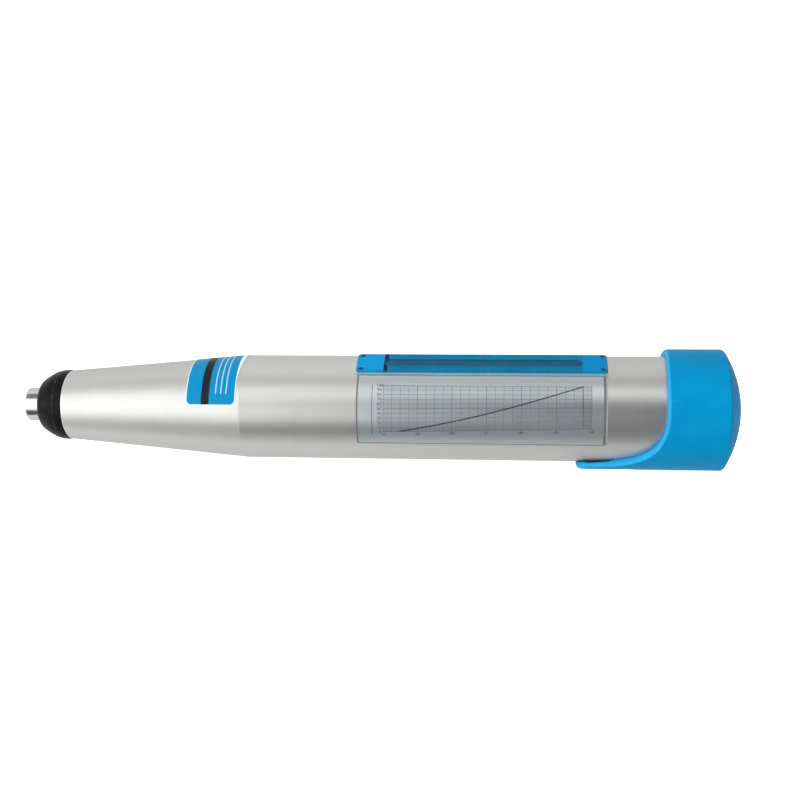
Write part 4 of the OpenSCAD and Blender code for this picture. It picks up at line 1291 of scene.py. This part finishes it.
class HAMMER_OT_inner_metal(bpy.types.Operator):
    """Finishes of the turned and stamped pieces that keep their solids"""

    bl_idname = "hammer.inner_metal"
    bl_label = "Inner pieces"

    def execute(self, context):
        bright = steel("Bright fittings", (0.6, 0.6, 0.6), 0.22)
        finishes = {
            "felt_washer": felt_finish(),
            "split_ring": bright,
            "guide_sleeve": steel("Ground sleeve", (0.5, 0.5, 0.51), 0.26, 0.9),
            "hammer_mass": steel("Hammer steel", (0.42, 0.42, 0.44), 0.3, 0.8, 0.08),
            "guide_bar": steel("Ground bar", (0.62, 0.62, 0.63), 0.14, 1.3, 0.03),
            "guide_disk": steel("Disk steel", (0.48, 0.48, 0.5), 0.3, 0.7, 0.08),
            "bar_pin": bright,
            "pawl": steel("Stamped pawl", (0.3, 0.3, 0.32), 0.36, 0.4, 0.1, 0.16),
            "pawl_pin": bright,
            "rear_cover": steel("Turned cover", (0.62, 0.62, 0.61), 0.34, 0.7, 0.08),
            "trip_screw": steel("Screw steel", (0.34, 0.34, 0.35), 0.34, 0.8, 0.1),
            "lock_nut": bright,
            "lock_pin": bright,
            "rod_blocks": steel("Rod blocks", (0.5, 0.5, 0.5), 0.34, 0.6),
            "pointer_rod": steel("Drawn rod", (0.68, 0.68, 0.68), 0.14, 1.2, 0.03),
            "rider_tab": steel("Brass strip", (0.62, 0.42, 0.16), 0.26, 0.5, 0.06, 0.16),
        }
        for name, finish in finishes.items():
            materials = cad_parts[name].data.materials
            materials.clear()
            materials.append(finish)
        return {"FINISHED"}


def add_floor():
    """Round floor whose edge rises by a quarter circle into a wall. It shows white from above and
    clear from below, and keeps out of the reflections, as a far backdrop does."""
    reach, bend_r, wall_top, sides = 0.9, 0.5, 1.2, 96
    a = quarter(24)[1:]
    flat = np.column_stack([np.linspace(0, reach, 12), np.zeros(12)])
    bend = np.column_stack([reach + bend_r * np.sin(a), bend_r * (1 - np.cos(a))])
    profile = joined(flat, bend, [(reach + bend_r, wall_top)])
    turn = full_turn(sides)[None]
    radius, height = profile[:, :1], np.broadcast_to(profile[:, 1:], (len(profile), sides))
    points = stacked(radius * np.cos(turn), radius * np.sin(turn), height)
    mesh = make_mesh("floor", [patch(points, wrap_cols=True)], lambda p: p)
    if mesh.polygons[0].normal.z < 0:
        mesh.flip_normals()
    mesh.shade_smooth()
    made, place, _ = open_finish("Pale floor")
    tone = place.noise(6.0, 3.0).mix((0.9, 0.9, 0.9), (0.92, 0.92, 0.92))
    white = (1.0, 1.0, 1.0, 1.0)
    shade(made, tone, 0.9, Specular_IOR_Level=0.0, Emission_Color=white, Emission_Strength=0.9)
    tree = made.node_tree
    below = Value(node(tree, "ShaderNodeNewGeometry"), "Backfacing")
    lit, clear = Value(tree.nodes["Principled BSDF"]), Value(node(tree, "ShaderNodeBsdfTransparent"))
    seen = node(tree, "ShaderNodeMixShader", {0: below, 1: lit, 2: clear})
    plug(tree.nodes["Material Output"].inputs["Surface"], Value(seen))
    mesh.materials.append(made)
    floor = linked("floor", mesh)
    floor.visible_diffuse = floor.visible_glossy = False
    floor.visible_transmission = floor.visible_shadow = False


def add_sky():
    """Soft light by direction. It changes with the angle above the front, from a dim right to a bright
    left, where two small dark cards above and below the camera draw dark lines on the plunger."""
    world = bpy.data.worlds.new("Studio")
    bpy.context.scene.world = world
    world.use_nodes = True
    tree = world.node_tree
    x, y, z = Value(node(tree, "ShaderNodeTexCoord"), "Generated").parts()
    height = z.maths("ARCTAN2", y * -1.0)
    share = height.remap(-math.pi, math.pi)
    right = [
        (-180, 0.66), (-128, 0.72), (-94, 0.74), (-82, 0.68), (-72, 0.48), (-60, 0.32), (-48, 0.23),
        (-20, 0.12), (4, 0.08), (14, 0.16), (24, 0.5), (32, 1.0), (40, 1.18), (48, 0.93), (56, 0.58),
        (66, 0.42), (76, 0.7), (88, 0.77), (126, 0.78), (146, 0.68), (180, 0.66),
    ]
    middle = [
        (-180, 0.75), (-128, 0.77), (-98, 0.9), (-82, 0.85), (-70, 0.62), (-60, 0.28), (-50, 0.08),
        (-40, 0.2), (-30, 0.66), (-20, 1.14), (-6, 1.12), (6, 0.8), (14, 0.8), (24, 1.18), (34, 1.34),
        (44, 1.2), (54, 0.8), (63, 0.6), (72, 0.92), (82, 1.06), (110, 1.02), (130, 0.82), (180, 0.75),
    ]
    left = [
        (-180, 0.75), (-128, 0.8), (-100, 0.95), (-78, 0.94), (-64, 0.83), (-50, 0.9), (-38, 1.18),
        (-24, 1.65), (-12, 1.9), (20, 1.9), (32, 1.64), (44, 1.33), (56, 1.08), (68, 0.96), (84, 0.93),
        (112, 0.8), (180, 0.7),
    ]
    level = sky_band(share, right)
    for start, end, stops in ((0.05, -0.19, middle), (-0.19, -0.45, left)):
        level = x.remap(start, end).mix(level, sky_band(share, stops))
    card_x, card_height = -0.41, 1.05
    beside, off = abs(x - card_x), abs(abs(height) - card_height)
    card = beside.remap(0.028, 0.04, 0.95, 0.0) * off.remap(0.26, 0.42, 1.0, 0.0)
    back = tree.nodes["Background"].inputs
    plug(back["Color"], card.mix(level, (0.0, 0.0, 0.0)))
    plug(back["Strength"], BRIGHTEST)


def sky_band(share, stops):
    """Ramp round the axis through levels at angles above the front, as parts of the brightest level."""
    ramp = node(share.tree, "ShaderNodeValToRGB", {0: share})
    elements = ramp.color_ramp.elements
    while len(elements) < len(stops):
        elements.new(0.5)
    for element, (angle, level) in zip(elements, stops):
        element.position = (angle + 180) / 360
        element.color = (*[level / BRIGHTEST] * 3, 1.0)
    return Value(ramp)


def add_lamp(name, place, target, size, power):
    """Rectangular soft lamp at a place, turned to its target."""
    light = bpy.data.lights.new(name, "AREA")
    light.shape, light.size, light.size_y, light.energy = "RECTANGLE", size[0], size[1], power
    lamp = linked(name, light)
    lamp.location = place
    lamp.rotation_euler = (Vector(target) - Vector(place)).to_track_quat("-Z", "Y").to_euler()
    lamp.visible_camera = lamp.visible_glossy = False


def add_camera():
    """Camera a little above the axis, 489 mm off, as the photograph was taken."""
    data = bpy.data.cameras.new("camera")
    data.lens, data.sensor_width = 50.0, 36.0
    data.clip_start, data.clip_end = 0.01, 20.0
    camera = linked("camera", data)
    aim, distance = Vector((0.01145, 0.0, AXIS_Z)), 0.4891
    shift_right, shift_up, roll = 0.00056, 0.0032, 0.002
    back = Vector((0.1017, -0.9929, 0.0610)).normalized()
    right = Vector((0, 0, 1)).cross(back).normalized()
    up = back.cross(right)
    place = aim + back * distance + right * shift_right + up * shift_up
    right, up = (right + up * roll).normalized(), (up - right * roll).normalized()
    turn = Matrix((right, up, back)).transposed()
    camera.matrix_world = Matrix.Translation(place) @ turn.to_4x4()
    bpy.context.scene.camera = camera


class HAMMER_OT_stage(bpy.types.Operator):
    """Pale floor that curves up into its wall, soft light from all round, and the camera"""

    bl_idname = "hammer.stage"
    bl_label = "Stage"

    def execute(self, context):
        add_floor()
        add_sky()
        add_lamp("key", (-0.75, -0.55, 0.62), (-0.05, 0, 0.03), (0.5, 0.35), 5.0)
        add_lamp("fill", (0.7, -0.9, 0.6), (0.05, 0, 0.03), (0.6, 0.4), 2.0)
        add_lamp("low", (0.15, -0.8, -0.35), (0.05, 0, 0.03), (0.8, 0.4), 4.0)
        add_camera()
        context.scene.view_settings.view_transform = "Standard"
        return {"FINISHED"}


class HAMMER_PT_panel(bpy.types.Panel):
    """Lists the operators, sizes and colours"""

    bl_label = "Test hammer"
    bl_idname = "HAMMER_PT_panel"
    bl_space_type = "VIEW_3D"
    bl_region_type = "UI"
    bl_category = "Test hammer"

    def draw(self, context):
        for operator in OPERATORS:
            self.layout.operator(operator.bl_idname)
        for props in (context.scene.hammer_sizes, context.scene.hammer_colours):
            for key in type(props).__annotations__:
                self.layout.prop(props, key)


OPERATORS = (
    HAMMER_OT_housing,
    HAMMER_OT_front_cap,
    HAMMER_OT_plunger,
    HAMMER_OT_springs,
    HAMMER_OT_end_boot,
    HAMMER_OT_scale,
    HAMMER_OT_films,
    HAMMER_OT_inner_metal,
    HAMMER_OT_stage,
)
CLASSES = (HammerSizes, HammerColours, *OPERATORS, HAMMER_PT_panel)


def register():
    for cls in CLASSES:
        bpy.utils.register_class(cls)
    bpy.types.Scene.hammer_sizes = PointerProperty(type=HammerSizes)
    bpy.types.Scene.hammer_colours = PointerProperty(type=HammerColours)


def unregister():
    del bpy.types.Scene.hammer_colours
    del bpy.types.Scene.hammer_sizes
    for cls in reversed(CLASSES):
        bpy.utils.unregister_class(cls)


def main():
    register()
    bpy.ops.hammer.housing()
    bpy.ops.hammer.front_cap()
    bpy.ops.hammer.plunger()
    bpy.ops.hammer.springs()
    bpy.ops.hammer.end_boot()
    bpy.ops.hammer.scale()
    bpy.ops.hammer.films()
    bpy.ops.hammer.inner_metal()
    bpy.ops.hammer.stage()
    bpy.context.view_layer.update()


if __name__ == "__main__":
    main()
